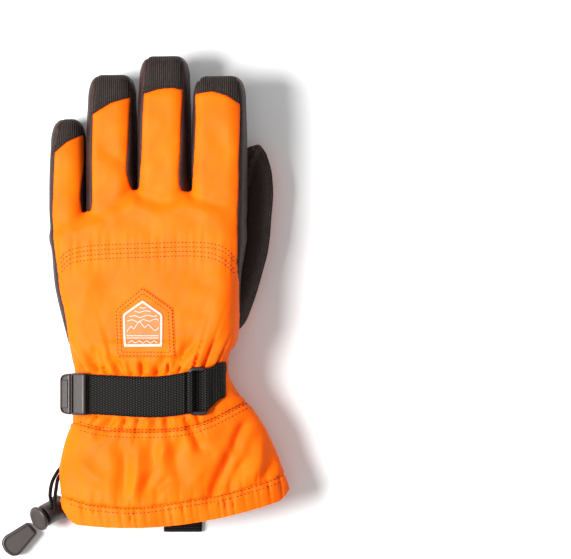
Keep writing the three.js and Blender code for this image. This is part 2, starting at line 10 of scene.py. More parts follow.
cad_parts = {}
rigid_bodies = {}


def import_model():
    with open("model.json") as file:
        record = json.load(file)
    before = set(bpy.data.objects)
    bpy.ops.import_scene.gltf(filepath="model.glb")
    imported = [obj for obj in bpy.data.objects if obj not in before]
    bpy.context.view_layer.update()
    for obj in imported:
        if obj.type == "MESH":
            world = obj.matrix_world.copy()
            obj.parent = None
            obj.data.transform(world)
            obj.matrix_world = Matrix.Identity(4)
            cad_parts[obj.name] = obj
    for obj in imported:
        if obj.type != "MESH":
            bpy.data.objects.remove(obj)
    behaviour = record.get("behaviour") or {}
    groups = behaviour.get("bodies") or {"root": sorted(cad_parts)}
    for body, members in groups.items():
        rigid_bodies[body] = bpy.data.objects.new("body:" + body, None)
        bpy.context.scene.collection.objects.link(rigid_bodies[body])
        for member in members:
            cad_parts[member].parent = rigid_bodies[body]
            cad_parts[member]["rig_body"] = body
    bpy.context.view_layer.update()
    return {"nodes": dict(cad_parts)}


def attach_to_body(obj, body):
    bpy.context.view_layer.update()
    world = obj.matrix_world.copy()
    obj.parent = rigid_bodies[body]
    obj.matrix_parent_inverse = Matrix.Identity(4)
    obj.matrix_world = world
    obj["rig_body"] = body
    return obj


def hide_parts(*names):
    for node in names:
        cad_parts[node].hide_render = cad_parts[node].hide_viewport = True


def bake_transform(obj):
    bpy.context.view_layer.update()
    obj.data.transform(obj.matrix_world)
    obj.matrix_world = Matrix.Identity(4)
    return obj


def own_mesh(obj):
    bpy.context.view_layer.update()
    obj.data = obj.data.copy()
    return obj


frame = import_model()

# ---- shared dimensions, in millimetres, as in the CAD source ----
MM = 0.001
FAR = 999  # a place beyond the glove
SHIFT = np.array([6.233, 0, 0])  # from the glove frame used below to the row frame
TILT = math.radians(13)
COS, SIN = math.cos(TILT), math.sin(TILT)
REST = np.array([3.4, 0, 17.3])  # where the hand's own frame, tilted about y, starts in the glove frame
HAND_TOP = 30
SIDE_SPLIT = 8.4  # height in the hand where the palm's leather meets the side strips
FINGER_MIDDLE, FINGER_HALF = 15, 13
FINGERS = {  # side edges, tip, hinge
    "little": (-78.2, -54.6, 113.1, 78),
    "ring": (-53.5, -21.2, 141.2, 92),
    "middle": (-19.6, 14.3, 152.8, 101),
    "index": (15.9, 51, 139.7, 106),
}
HAND_OUTLINE = [
    (18, -49), (31, -48), (36.4, -43.5), (38.8, -37), (45, -26), (46.5, 10), (50, 38), (43, 56),
    (15.1, 66.4), (-2, 62), (-20.4, 67.6), (-37, 60), (-54, 53.4), (-67, 50), (-77.4, 40), (-76, 26),
    (-73.5, 2), (-63.2, -37), (-60.6, -43.5), (-56, -48), (-40, -49),
]
THUMB_LINE = [  # x, y and radius along the thumb
    (27, -6, 20), (34, 12, 19.6), (40.4, 35, 19.2), (42.3, 57, 19), (44.6, 68, 17.2), (47.6, 79, 13),
    (51.4, 89.4, 6.2),
]
PALM_RIDGE = [(7.2, -23.5), (0.8, -15.2), (-3.7, -5.6), (-4.4, 2.1), (0.8, 14.9), (7.2, 23.2)]
THUMB_RIDGE = [(52.6, 94), (48.6, 82), (44.6, 66), (42.6, 48), (41, 30)]
THUMB_TOP, THUMB_LOW = -0.6, -20.6
CUFF = np.array([  # left x y z, right x y z, half height, bow
    (-61.2, -36, 19, 37.5, -36, 38, 17, 0),
    (-60.3, -52, 19.5, 38, -51, 36, 17, 0),
    (-60.5, -66, 20, 44, -62, 34, 17, 2),
    (-61.4, -79, 20.5, 52.5, -70, 31.5, 17.5, 4),
    (-67, -94, 22, 62, -84, 29, 18, 5),
    (-71, -112, 23, 71, -104, 27, 19, 6),
    (-68.4, -131, 24, 75, -117, 26, 20, 8),
    (-65.5, -145.5, 24, 78, -128.5, 26, 20, 9),
])
HEM_MIDDLE, HEM_HALF = 6.3, 71.5  # the hem's middle and half its width along x
ROUNDNESS = 2.3  # exponent of the cuff's section, between an ellipse and a box
UPPER_SEAM = [
    (-95, -77), (-61.3, -81.3), (-41.7, -85.5), (-13, -86.6), (10.4, -84.9), (28, -79.5), (50, -68.3),
    (80, -55),
]
HEM_SEAM = [
    (-95, -122), (-66.6, -128.7), (-48.8, -133.4), (-19.3, -135.2), (10.4, -131), (39.9, -125.6),
    (71.8, -115.6), (95, -105),
]
STRAP_TOP = [(-90, -50), (-50, -50.4), (-10, -51.6), (12, -48.6), (25, -46.6), (36.6, -42), (75, -40)]
STRAP_BOTTOM = [(-90, -75.2), (-50, -75.8), (-10, -77.6), (12, -75.4), (25, -73.2), (36.9, -64.5), (75, -58)]
STRAP_WIDTH = 25.2
RING = {"left": 12.8, "right": 25.8, "bottom": -76.2, "top": -45.4}
RING_BAR = 1.45  # radius of its bar
RING_LIFT = 3.4  # its middle over the cuff
CLIP = {"at": (-51.6, -63, 38.2), "slope": -32, "half": 13.5}
PULL = {"left": -3.7, "right": 20.8, "seam": -88, "hem": -131.5}
PULL_LOOP = {"near": -134.5, "far": -151.3, "level": 1.5, "bend": 0.88}
LABEL = {"left": -15.2, "right": -5.2, "seam": -92, "hem": -126.5}
WEB_HALF = 0.6  # half the thickness of the thin webbing
CORD_ROUTES = {
    "drawcord_outer": [
        (-71.6, -113.5, 23), (-74.8, -120, 24.5), (-76, -128, 24.5), (-74.9, -135.2, 21.4),
        (-78.7, -138.8, 14.2), (-82.8, -140.9, 7.6), (-85.6, -144.6, 4.9), (-87, -148.1, 4.6),
    ],
    "drawcord_inner": [
        (-71, -117.5, 22.5), (-72.2, -124, 24), (-73, -131.5, 24.2), (-72.9, -138.7, 21.2),
        (-77.1, -141.8, 14.2), (-81.2, -143.9, 7.6), (-83.2, -147, 5), (-84.9, -150, 4.6),
    ],
}
LEAD_IN = {  # where each strand starts, inside the side seam
    "drawcord_outer": (-67.6, -108.5, 21.5),
    "drawcord_inner": (-67.6, -112.5, 21),
}
CORD_RADIUS = 1.2
LOCK = {"at": (-76.5, -139.5, 13), "turn": 208, "rise": 35}
LOCK_TAPE = {"top": -132.8, "bottom": -137.4}
GRIP = {"at": (-88.2, -149.6, 0.2), "turn": 221}
GRIP_THICKNESS = 4.25  # of each half


# ---- camera, light and floor ----
def make_camera():
    distance, seen_width, aim = 3.0, 0.36544, (0.08092, 0.01011, 0.025)
    camera = bpy.data.cameras.new("camera")
    camera.sensor_width = 36
    camera.lens = camera.sensor_width * distance / seen_width
    camera.clip_start, camera.clip_end = 0.05, 20
    rig = bpy.data.objects.new("camera", camera)
    rig.location = (aim[0], aim[1], aim[2] + distance)
    bpy.context.scene.collection.objects.link(rig)
    bpy.context.scene.camera = rig


def area_light(name, place, size, power):
    """A round light that points at the middle of the floor."""
    light = bpy.data.lights.new(name, "AREA")
    light.shape = "DISK"
    light.size = size
    light.energy = power
    lamp = bpy.data.objects.new(name, light)
    lamp.location = place
    lamp.rotation_mode = "QUATERNION"
    lamp.rotation_quaternion = (-Vector(place)).to_track_quat("-Z", "Y")
    bpy.context.scene.collection.objects.link(lamp)


def make_stage():
    bpy.ops.mesh.primitive_plane_add(size=6, location=(0, 0, -0.0002))
    floor = bpy.context.object
    floor.name = "floor"
    floor.data.materials.append(new_material("floor_paper", Base_Color=(0.9, 0.9, 0.9, 1), Roughness=0.8))
    area_light("key", (-0.95, -0.08, 1.12), 0.75, 44)
    area_light("fill", (0.1, 0.1, 1.8), 1.2, 4)
    world = bpy.data.worlds.new("studio")
    world.use_nodes = True
    world.node_tree.nodes["Background"].inputs[0].default_value = (1, 1, 1, 1)
    world.node_tree.nodes["Background"].inputs[1].default_value = 0.42
    bpy.context.scene.world = world
    bpy.context.scene.view_settings.view_transform = "Standard"


# ---- materials: their patterns follow the "rest" attribute, which is where a point was made ----
def node(tree, kind, links, **values):
    """A shader node; links gives what its sockets take, values its settings and its sockets' constants."""
    made = tree.nodes.new("ShaderNode" + kind)
    for key, value in values.items():
        if hasattr(made, key):
            setattr(made, key, value)
        else:
            made.inputs[key.replace("_", " ")].default_value = value
    for socket, source in links.items():
        tree.links.new(source, made.inputs[socket])
    return made


def new_material(name, looks=None, **constants):
    """A material; constants are for the shader's sockets, and looks(tree, place) gives what others take."""
    material = bpy.data.materials.new(name)
    material.use_nodes = True
    tree = material.node_tree
    shader = tree.nodes["Principled BSDF"]
    for socket, value in constants.items():
        shader.inputs[socket.replace("_", " ")].default_value = value
    if looks:
        place = node(tree, "Attribute", {}, attribute_name="rest").outputs["Vector"]
        for socket, source in looks(tree, place).items():
            tree.links.new(source, shader.inputs[socket])
    return material


def scaled(tree, vector, scale):
    return node(tree, "Mapping", {"Vector": vector}, Scale=scale).outputs["Vector"]


def noise(tree, vector, scale, detail=3.0, roughness=0.55):
    made = node(tree, "TexNoise", {"Vector": vector}, Scale=scale, Detail=detail, Roughness=roughness)
    return made.outputs["Fac"]


def wave(tree, vector, scale, direction="X"):
    made = node(tree, "TexWave", {"Vector": vector}, wave_type="BANDS", bands_direction=direction,
                Scale=scale)
    return made.outputs["Fac"]


def product(tree, a, b):
    return node(tree, "Math", {0: a, 1: b}, operation="MULTIPLY").outputs[0]


def ramp(tree, fac, low, dark, high, light):
    """A colour that goes from dark to light as fac goes from low to high."""
    made = node(tree, "ValToRGB", {"Fac": fac})
    for element, place, colour in zip(made.color_ramp.elements, (low, high), (dark, light)):
        element.position = place
        element.color = (*colour, 1)
    return made.outputs["Color"]


def shades(tree, fac, low, high, colour, darker, lighter=1.0):
    """A ramp between two shades of one colour."""
    dark = tuple(c * darker for c in colour)
    light = tuple(c * lighter for c in colour)
    return ramp(tree, fac, low, dark, high, light)


def bump(tree, height, strength, distance, below=None):
    links = {"Height": height} if below is None else {"Height": height, "Normal": below}
    return node(tree, "Bump", links, Strength=strength, Distance=distance).outputs["Normal"]


def spread(tree, fac, low, high):
    """A factor from 0 to 1 stretched over low to high."""
    return node(tree, "MapRange", {"Value": fac}, To_Min=low, To_Max=high).outputs[0]


def shell_fabric():
    def looks(tree, place):
        weave = product(tree, wave(tree, place, 0.85, "X"), wave(tree, place, 0.85, "Y"))
        creases = noise(tree, place, 0.09, 4.0, 0.5)
        broad = noise(tree, place, 0.035, 2.0)
        return {
            "Base Color": ramp(tree, broad, 0.3, (0.93, 0.112, 0.002), 0.7, (1.0, 0.146, 0.002)),
            "Normal": bump(tree, creases, 0.3, 0.0012, bump(tree, weave, 0.12, 0.0001)),
            "Roughness": spread(tree, noise(tree, place, 0.3, 2.0), 0.42, 0.56),
        }
    return new_material("shell_fabric", looks, Specular_IOR_Level=0.06)


def leather(name, colour, dots, grain, roughness):
    def looks(tree, place):
        mottled = noise(tree, place, 0.12, 4.0)
        cells = node(tree, "TexVoronoi", {"Vector": place}, Scale=dots).outputs["Distance"]
        return {
            "Base Color": shades(tree, mottled, 0.3, 0.75, colour, 0.72, 1.25),
            "Normal": bump(tree, noise(tree, place, 0.3, 4.0), 0.35, 0.0008,
                           bump(tree, cells, grain, 0.0005)),
            "Roughness": spread(tree, mottled, roughness - 0.08, roughness + 0.1),
        }
    return new_material(name, looks, Specular_IOR_Level=0.2)


def ribbed():
    def looks(tree, place):
        ribs, worn = wave(tree, place, 0.235), noise(tree, place, 0.5, 3.0)
        # The lighter end is the leather's own colour; the near-black where the ribs run low, in the grooves,
        # is painted shade, and the worn noise varies it at random.
        tone = ramp(tree, product(tree, ribs, worn), 0.05, (0.005, 0.003, 0.0025),
                    0.5, (0.042, 0.0265, 0.0215))
        return {"Base Color": tone, "Normal": bump(tree, ribs, 0.8, 0.0006, bump(tree, worn, 0.4, 0.0004))}
    return new_material("ribbed_leather", looks, Roughness=0.75, Specular_IOR_Level=0.25)


def webbing(name="webbing", pitch=1.75):
    def looks(tree, place):
        columns = wave(tree, place, 0.314 / pitch)
        picks = wave(tree, scaled(tree, place, (0.5 / pitch, 1 / 1.5, 0.0)), 0.628, "DIAGONAL")
        knots = product(tree, columns, picks)
        # The near-black is the webbing's own colour; the lighter colour on the weave's raised knots is
        # painted highlight.
        tone = ramp(tree, knots, 0.3, (0.0015, 0.0013, 0.0012), 0.9, (0.050, 0.043, 0.039))
        return {"Base Color": tone, "Normal": bump(tree, knots, 0.9, 0.0006)}
    return new_material(name, looks, Roughness=0.65, Specular_IOR_Level=0.14)


def moulded(name, colour, roughness=0.42, speckle=1.6):
    def looks(tree, place):
        fine = noise(tree, place, speckle, 3.0)
        return {
            "Base Color": shades(tree, fine, 0.35, 0.65, colour, 0.86, 1.12),
            "Normal": bump(tree, fine, 0.25, 0.0003),
            "Roughness": spread(tree, noise(tree, place, 0.25, 3.0), roughness - 0.07, roughness + 0.1),
        }
    return new_material(name, looks)


def thread(name, colour):
    def looks(tree, place):
        twist = wave(tree, place, 0.9, "DIAGONAL")
        return {
            "Base Color": shades(tree, twist, 0.2, 0.8, colour, 0.6),
            "Normal": bump(tree, twist, 0.4, 0.0002),
        }
    return new_material(name, looks, Roughness=0.6)


def fleece():
    def looks(tree, place):
        tufts = noise(tree, place, 0.9, 5.0, 0.7)
        tone = ramp(tree, tufts, 0.3, (0.012, 0.0115, 0.011), 0.7, (0.042, 0.040, 0.038))
        return {"Base Color": tone, "Normal": bump(tree, tufts, 0.9, 0.0015)}
    return new_material("fleece", looks, Roughness=0.9, Sheen_Weight=0.6)


def steel():
    def looks(tree, place):
        brushed = noise(tree, scaled(tree, place, (6.0, 0.6, 0.6)), 1.2, 3.0)
        return {"Base Color": ramp(tree, brushed, 0.3, (0.42, 0.43, 0.45), 0.7, (0.62, 0.63, 0.65))}
    return new_material("spring_steel", looks, Metallic=1, Roughness=0.3)


# ---- mesh helpers: faces are quads, and a triangle repeats its last corner ----
def polygons(faces):
    return [tuple(f[:3]) if f[2] == f[3] else tuple(f) for f in faces.tolist()]


def search_tree(points, faces):
    return BVHTree.FromPolygons(points.tolist(), polygons(faces))


def place_object(name, points, faces, material, rest=None, sharp=None):
    """An object from points in the glove frame; the rest attribute keeps where each point was made."""
    mesh = bpy.data.meshes.new(name)
    mesh.from_pydata(((points + SHIFT) * MM).tolist(), [], polygons(faces))
    mesh.validate()
    mesh.shade_smooth()
    if sharp:
        mesh.set_sharp_from_angle(angle=math.radians(sharp))
    kept = mesh.attributes.new("rest", "FLOAT_VECTOR", "POINT")
    source = points if rest is None else rest
    if len(mesh.vertices) == len(source):
        kept.data.foreach_set("vector", np.ascontiguousarray(source, dtype=np.float32).ravel())
    mesh.materials.append(material)
    made = bpy.data.objects.new(name, mesh)
    bpy.context.scene.collection.objects.link(made)
    return made


def drop_unused(values, faces):
    used = np.unique(faces)
    lookup = np.full(len(values), -1)
    lookup[used] = np.arange(len(used))
    return values[used], lookup[faces]


def clip(values, faces, field, snap=0.12):
    """The part of a mesh where field is positive; values holds every column that belongs to a vertex."""
    field = np.where(np.abs(field) < snap, 0.0, field)
    signs = field[faces]
    keep = (signs >= 0).all(1) & (signs > 0).any(1)
    mixed = (signs > 0).any(1) & (signs < 0).any(1)
    extra, made, lookup = [], [], {}
    for polygon in faces[mixed].tolist():
        corners = polygon[:3] if polygon[2] == polygon[3] else polygon
        out = []
        for a, b in zip(corners, corners[1:] + corners[:1]):
            fa, fb = field[a], field[b]
            if fa >= 0:
                out.append(a)
            if fa * fb < 0:
                low, high = min(a, b), max(a, b)
                if (low, high) not in lookup:
                    t = field[low] / (field[low] - field[high])
                    lookup[low, high] = len(values) + len(extra)
                    extra.append(values[low] * (1 - t) + values[high] * t)
                out.append(lookup[low, high])
        if len(out) >= 3:
            made.append(out[:4] if len(out) >= 4 else [*out, out[2]])
        if len(out) == 5:
            made.append([out[0], out[3], out[4], out[4]])
    if made:
        values = np.vstack([values, *extra])
        faces = np.vstack([faces[keep], made])
    else:
        faces = faces[keep]
    return drop_unused(values, faces)


def border_edges(faces):
    """The directed edges that belong to one face only."""
    pairs = []
    for i in range(4):
        a, b = faces[:, i], faces[:, (i + 1) % 4]
        pairs.append(np.stack([a, b], 1)[a != b])
    pairs = np.vstack(pairs)
    low, high = pairs.min(1), pairs.max(1)
    key = low * (faces.max() + 1) + high
    _, first, counts = np.unique(key, return_index=True, return_counts=True)
    return pairs[first[counts == 1]]


def normals_of(points, faces):
    total = np.zeros_like(points)
    a, b, c, d = (points[faces[:, i]] for i in range(4))
    face = np.cross(c - a, d - b)
    flat = faces[:, 2] == faces[:, 3]
    face[flat] = np.cross(b[flat] - a[flat], c[flat] - a[flat])
    for i in range(4):
        np.add.at(total, faces[:, i], face)
    return total / np.maximum(np.linalg.norm(total, axis=1, keepdims=True), 1e-9)


def turned_in(points, faces, normals, depth):
    """The panel with its edge turned in behind, and the rows of its border points."""
    edges = border_edges(faces)
    rim = np.unique(edges)
    lookup = np.full(len(points), -1)
    lookup[rim] = len(points) + np.arange(len(rim))
    below = points[rim] - normals[rim] * depth
    walls = np.stack([edges[:, 1], edges[:, 0], lookup[edges[:, 0]], lookup[edges[:, 1]]], 1)
    return np.vstack([points, below]), np.vstack([faces, walls]), rim


# ---- curves and distances over the plan ----
def catmull_rom(a, b, c, d, steps):
    """Points from b towards c on the smooth curve through four points, or through four arrays of points."""
    return [0.5 * (2 * b + (c - a) * t + (2 * a - 5 * b + 4 * c - d) * t**2 + (3 * b - a - 3 * c + d) * t**3)
            for t in np.arange(steps) / steps]


def smooth_closed(outline, steps):
    p = np.array(outline, float)
    rows = catmull_rom(np.roll(p, 1, 0), p, np.roll(p, -1, 0), np.roll(p, -2, 0), steps)
    return np.stack(rows, 1).reshape(-1, 2)


def smooth_line(line, steps=6, run_on=True):
    """A smooth curve through an open line; run_on keeps its two ends as straight as their neighbours."""
    p = np.array(line, float)
    first, last = (2 * p[0] - p[1], 2 * p[-1] - p[-2]) if run_on else (p[0], p[-1])
    padded = np.vstack([first, p, last])
    out = [point for i in range(len(p) - 1) for point in catmull_rom(*padded[i:i + 4], steps)]
    return np.array([*out, p[-1]])


def along(line, x):
    xs, ys = np.array(line, float).T
    return np.interp(x, xs, ys)


def outline_distance(x, y, outline):
    """Distance to a closed outline, negative inside."""
    nearest = np.full(x.shape, 1e9)
    inside = np.zeros(x.shape, bool)
    for (ax, ay), (bx, by) in zip(outline, np.roll(outline, -1, 0)):
        ex, ey = bx - ax, by - ay
        t = np.clip(((x - ax) * ex + (y - ay) * ey) / (ex * ex + ey * ey + 1e-12), 0, 1)
        nearest = np.minimum(nearest, (x - ax - ex * t) ** 2 + (y - ay - ey * t) ** 2)
        crosses = (ay > y) != (by > y)
        if ey != 0:
            inside ^= crosses & (x < ax + ex * (y - ay) / ey)
    return np.where(inside, -1, 1) * np.sqrt(nearest)


def line_distance(x, y, line):
    """Distance to an open line."""
    nearest = np.full(len(x), 99.0)
    for (ax, ay), (bx, by) in zip(line, line[1:]):
        ex, ey = bx - ax, by - ay
        t = np.clip(((x - ax) * ex + (y - ay) * ey) / (ex * ex + ey * ey), 0, 1)
        nearest = np.minimum(nearest, np.hypot(x - ax - ex * t, y - ay - ey * t))
    return nearest


def smooth_min(a, b, reach):
    h = np.clip(0.5 + 0.5 * (b - a) / reach, 0, 1)
    return b * (1 - h) + a * h - reach * h * (1 - h)


def rounded(plan, height, half, radius):
    """A flat shape of that plan distance, with its rim rounded."""
    a, b = plan + radius, np.abs(height) - half + radius
    return np.minimum(np.maximum(a, b), 0) + np.hypot(np.maximum(a, 0), np.maximum(b, 0)) - radius


def ease(value, start, end):
    t = np.clip((value - start) / (end - start), 0, 1)
    return t * t * (3 - 2 * t)


# ---- the glove's outer surface as a distance field, in the hand's own frame ----
def tilted(vectors):
    """Directions in the hand's frame, as they are in the glove frame."""
    x, y, z = vectors.T
    return np.stack([COS * x - SIN * z, y, SIN * x + COS * z], 1)


def to_glove(points):
    return tilted(points) + REST


def finger_distance(name, x, y, z):
    left, right, tip, _ = FINGERS[name]
    half = (right - left) / 2 - 0.35
    slim = 0.8 * ease(y, tip - 45, tip - 12) + 2.6 * ease(y, tip - 13, tip + 1) + 1.4 * (1 - ease(y, 30, 58))
    corner = 6.0
    a = np.abs(x - (left + right) / 2) - half + slim + corner
    b = np.abs(y - (tip + 30) / 2) - (tip - 30) / 2 + corner
    plan = np.minimum(np.maximum(a, b), 0) + np.hypot(np.maximum(a, 0), np.maximum(b, 0)) - corner
    low = 2.5 * ease(y, tip - 34, tip)
    return rounded(plan, z - FINGER_MIDDLE + low * 0.4, FINGER_HALF - low * 0.6, 9.6)


HAND_PLAN = smooth_closed(HAND_OUTLINE, 5)
THUMB_PLAN = smooth_line(THUMB_LINE, run_on=False)
LAST = 28  # number of the cuff's last section, at the hem
FINER = np.linspace(0, len(CUFF) - 1, LAST + 1)
SECTIONS = np.array([np.interp(FINER, np.arange(len(CUFF)), column) for column in CUFF.T])
for _ in range(3):
    SECTIONS[:, 1:-1] = SECTIONS[:, 1:-1] / 2 + (SECTIONS[:, :-2] + SECTIONS[:, 2:]) / 4


def section_y(k, x):
    left_x, left_y, _, right_x, right_y, _, _, bow = SECTIONS[:, k]
    u = (x - left_x) / (right_x - left_x)
    return left_y + (right_y - left_y) * np.clip(u, -0.2, 1.2) - bow * np.maximum(0, 1 - (2 * u - 1) ** 2)


def hem_line(x):
    """Where the hem ends over the plan, with its corners rounded."""
    across = (x - HEM_MIDDLE) / HEM_HALF
    return section_y(LAST, x) + 7 * np.clip((np.abs(across) - 0.88) / 0.12, 0, 1.3) ** 2


def section_at(x, y):
    """Which cuff section, as a number from 0 to LAST, passes through a point of the plan."""
    found = np.where(y > section_y(0, x), 0.0, LAST)
    for k in range(LAST):
        top, bottom = section_y(k, x), section_y(k + 1, x)
        here = (y <= top) & (y > bottom)
        found = np.where(here, k + (top - y) / np.maximum(top - bottom, 1e-6), found)
    return found


def section_values(s):
    return [np.interp(s, np.arange(LAST + 1), column) for column in SECTIONS]


def cuff_distance(x, y, z):
    left_x, _, left_z, right_x, _, right_z, half, _ = section_values(section_at(x, y))
    wide = (right_x - left_x) / 2
    across = (x - (left_x + right_x) / 2) / wide
    up = (z - left_z - (right_z - left_z) * (across + 1) / 2) / half
    a, b = np.abs(across) + 1e-6, np.abs(up) + 1e-6
    f = (a**ROUNDNESS + b**ROUNDNESS) ** (1 / ROUNDNESS)
    slope = f ** (1 - ROUNDNESS) * np.hypot(a ** (ROUNDNESS - 1) / wide, b ** (ROUNDNESS - 1) / half)
    body = (f - 1) / np.maximum(slope, 1 / wide)
    return np.maximum(body, np.maximum(y + 31, section_y(LAST, x) - 14 - y))


def cuff_top(x, y, side=1):
    """Height of the cuff's surface over a point of the plan, on its upper or lower side."""
    left_x, _, left_z, right_x, _, right_z, half, _ = section_values(section_at(x, y))
    across = np.clip((x - (left_x + right_x) / 2) / ((right_x - left_x) / 2), -0.999, 0.999)
    level = left_z + (right_z - left_z) * (across + 1) / 2
    return level + side * half * (1 - np.abs(across) ** ROUNDNESS) ** (1 / ROUNDNESS)


def glove_distance(x, y, z, plan=None):
    """Distance to the outer surface for points in the hand's frame."""
    if plan is None:
        plan = outline_distance(x, y, HAND_PLAN)
    body = rounded(plan, z - HAND_TOP / 2, HAND_TOP / 2, 12.5)
    whole = body
    for name in FINGERS:
        whole = np.minimum(whole, smooth_min(body, finger_distance(name, x, y, z), 2.5))
    glove_x, glove_z = COS * x - SIN * z + REST[0], SIN * x + COS * z + REST[2]
    near = y < -15
    cuff = np.full(x.shape, 60.0)
    cuff[near] = cuff_distance(glove_x[near], y[near], glove_z[near])
    return smooth_min(whole, cuff, 4)


def thumb_distance(x, y, z):
    nearest = np.full(x.shape, 1e9)
    for cx, cy, radius in THUMB_PLAN:
        nearest = smooth_min(nearest, np.hypot(x - cx, y - cy) - radius + 0.35, 1.5)
    middle = (THUMB_TOP + THUMB_LOW) / 2
    thin = 2.2 * ease(y, 55, 94)
    pad = rounded(nearest, z - middle, (THUMB_TOP - THUMB_LOW) / 2 - thin, 8.6)
    root = np.sqrt(((x - 27) / 15.5) ** 2 + ((y + 7) / 17) ** 2 + ((z + 5) / 8.5) ** 2)
    return smooth_min(pad, (root - 1) * 8.5, 5)


def polygonise(values, origin, step):
    """Quads along the zero level of a grid of distances, one vertex in each crossed cell."""
    inside = values < 0
    corners = [(i, j, k) for i in (0, 1) for j in (0, 1) for k in (0, 1)]
    nx, ny, nz = values.shape
    count = sum(inside[i:nx - 1 + i, j:ny - 1 + j, k:nz - 1 + k].astype(np.int8) for i, j, k in corners)
    active = (count > 0) & (count < 8)
    cells = np.argwhere(active)
    index = np.full(active.shape, -1)
    index[active] = np.arange(len(cells))
    total, hits = np.zeros((len(cells), 3)), np.zeros(len(cells))
    for a in corners:
        for axis in range(3):
            if a[axis]:
                continue
            b = tuple(a[i] + (i == axis) for i in range(3))
            fa = values[tuple((cells + a).T)]
            fb = values[tuple((cells + b).T)]
            crossed = (fa < 0) != (fb < 0)
            t = np.where(crossed, fa / np.where(crossed, fa - fb, 1), 0)
            point = np.array(a, float)[None, :] + t[:, None] * (np.array(b) - np.array(a))[None, :]
            total[crossed] += point[crossed]
            hits += crossed
    points = (cells + total / hits[:, None]) * step + origin
    faces = []
    for axis in range(3):
        u, v = (axis + 1) % 3, (axis + 2) % 3
        here = [slice(1, -1)] * 3
        here[axis] = slice(0, -1)
        there = list(here)
        there[axis] = slice(1, None)
        a, b = inside[tuple(here)], inside[tuple(there)]
        found = np.argwhere(a != b)
        lead = a[a != b]
        base = found + 1
        base[:, axis] -= 1
        quad = []
        for du, dv in ((-1, -1), (0, -1), (0, 0), (-1, 0)):
            cell = base.copy()
            cell[:, u] += du
            cell[:, v] += dv
            quad.append(index[tuple(cell.T)])
        quad = np.stack(quad, 1)
        quad[~lead] = quad[~lead][:, ::-1]
        faces.append(quad)
    return points, np.vstack(faces)


def relaxed(points, faces, rounds=2):
    """The points evened out over their surface."""
    for _ in range(rounds):
        total, count = np.zeros_like(points), np.zeros(len(points))
        for i in range(4):
            a, b = faces[:, i], faces[:, (i + 1) % 4]
            np.add.at(total, a, points[b])
            np.add.at(total, b, points[a])
            np.add.at(count, a, 1)
            np.add.at(count, b, 1)
        points = points * 0.5 + 0.5 * total / np.maximum(count, 1)[:, None]
    return points


def settled(points, distance, level=0.0, rounds=2):
    """The points moved on to the level of the distance field, and the outward directions there."""
    for _ in range(rounds):
        value = distance(*points.T) - level
        slopes = [distance(*(points + e).T) - distance(*(points - e).T) for e in np.eye(3) * 0.4]
        slope = np.stack(slopes, 1) / 0.8
        length = np.maximum(np.linalg.norm(slope, axis=1, keepdims=True), 0.2)
        points = points - np.clip(value[:, None] / length, -1, 1) * slope / length
    return points, slope / np.maximum(np.linalg.norm(slope, axis=1, keepdims=True), 1e-9)


def surface(distance, low, high, step, level=0.0, plan=None):
    axes = [np.arange(low[i], high[i] + step[i], step[i]) for i in range(3)]
    grid = np.meshgrid(*axes, indexing="ij")
    flat = [g.ravel() for g in grid]
    if plan is not None:
        px, py = np.meshgrid(axes[0], axes[1], indexing="ij")
        wide = np.repeat(outline_distance(px.ravel(), py.ravel(), plan)[:, None], len(axes[2]), 1).ravel()
        values = distance(*flat, wide)
    else:
        values = distance(*flat)
    heights = values.reshape(grid[0].shape) - level
    points, faces = polygonise(heights, np.array(low, float), np.array(step, float))
    points = relaxed(points, faces)
    points, _ = settled(points, distance, level)
    return points, faces


def skin(distance, low, high, step, relief, plan=None):
    """A surface moved out by its relief, as rows of the four columns below, and its faces."""
    h, faces = surface(distance, low, high, step, plan=plan)
    _, normals = settled(h, distance, rounds=1)
    g, normals = to_glove(h), tilted(normals)
    moved = g + normals * relief(h, g, normals)[:, None]
    return np.hstack([moved, h, normals_of(moved, faces), g]), faces


# the columns of a row: its place, its place in the hand's frame, the way outwards and its place before relief
PLACE, HAND, OUT, SMOOTH = (slice(k, k + 3) for k in (0, 3, 6, 9))

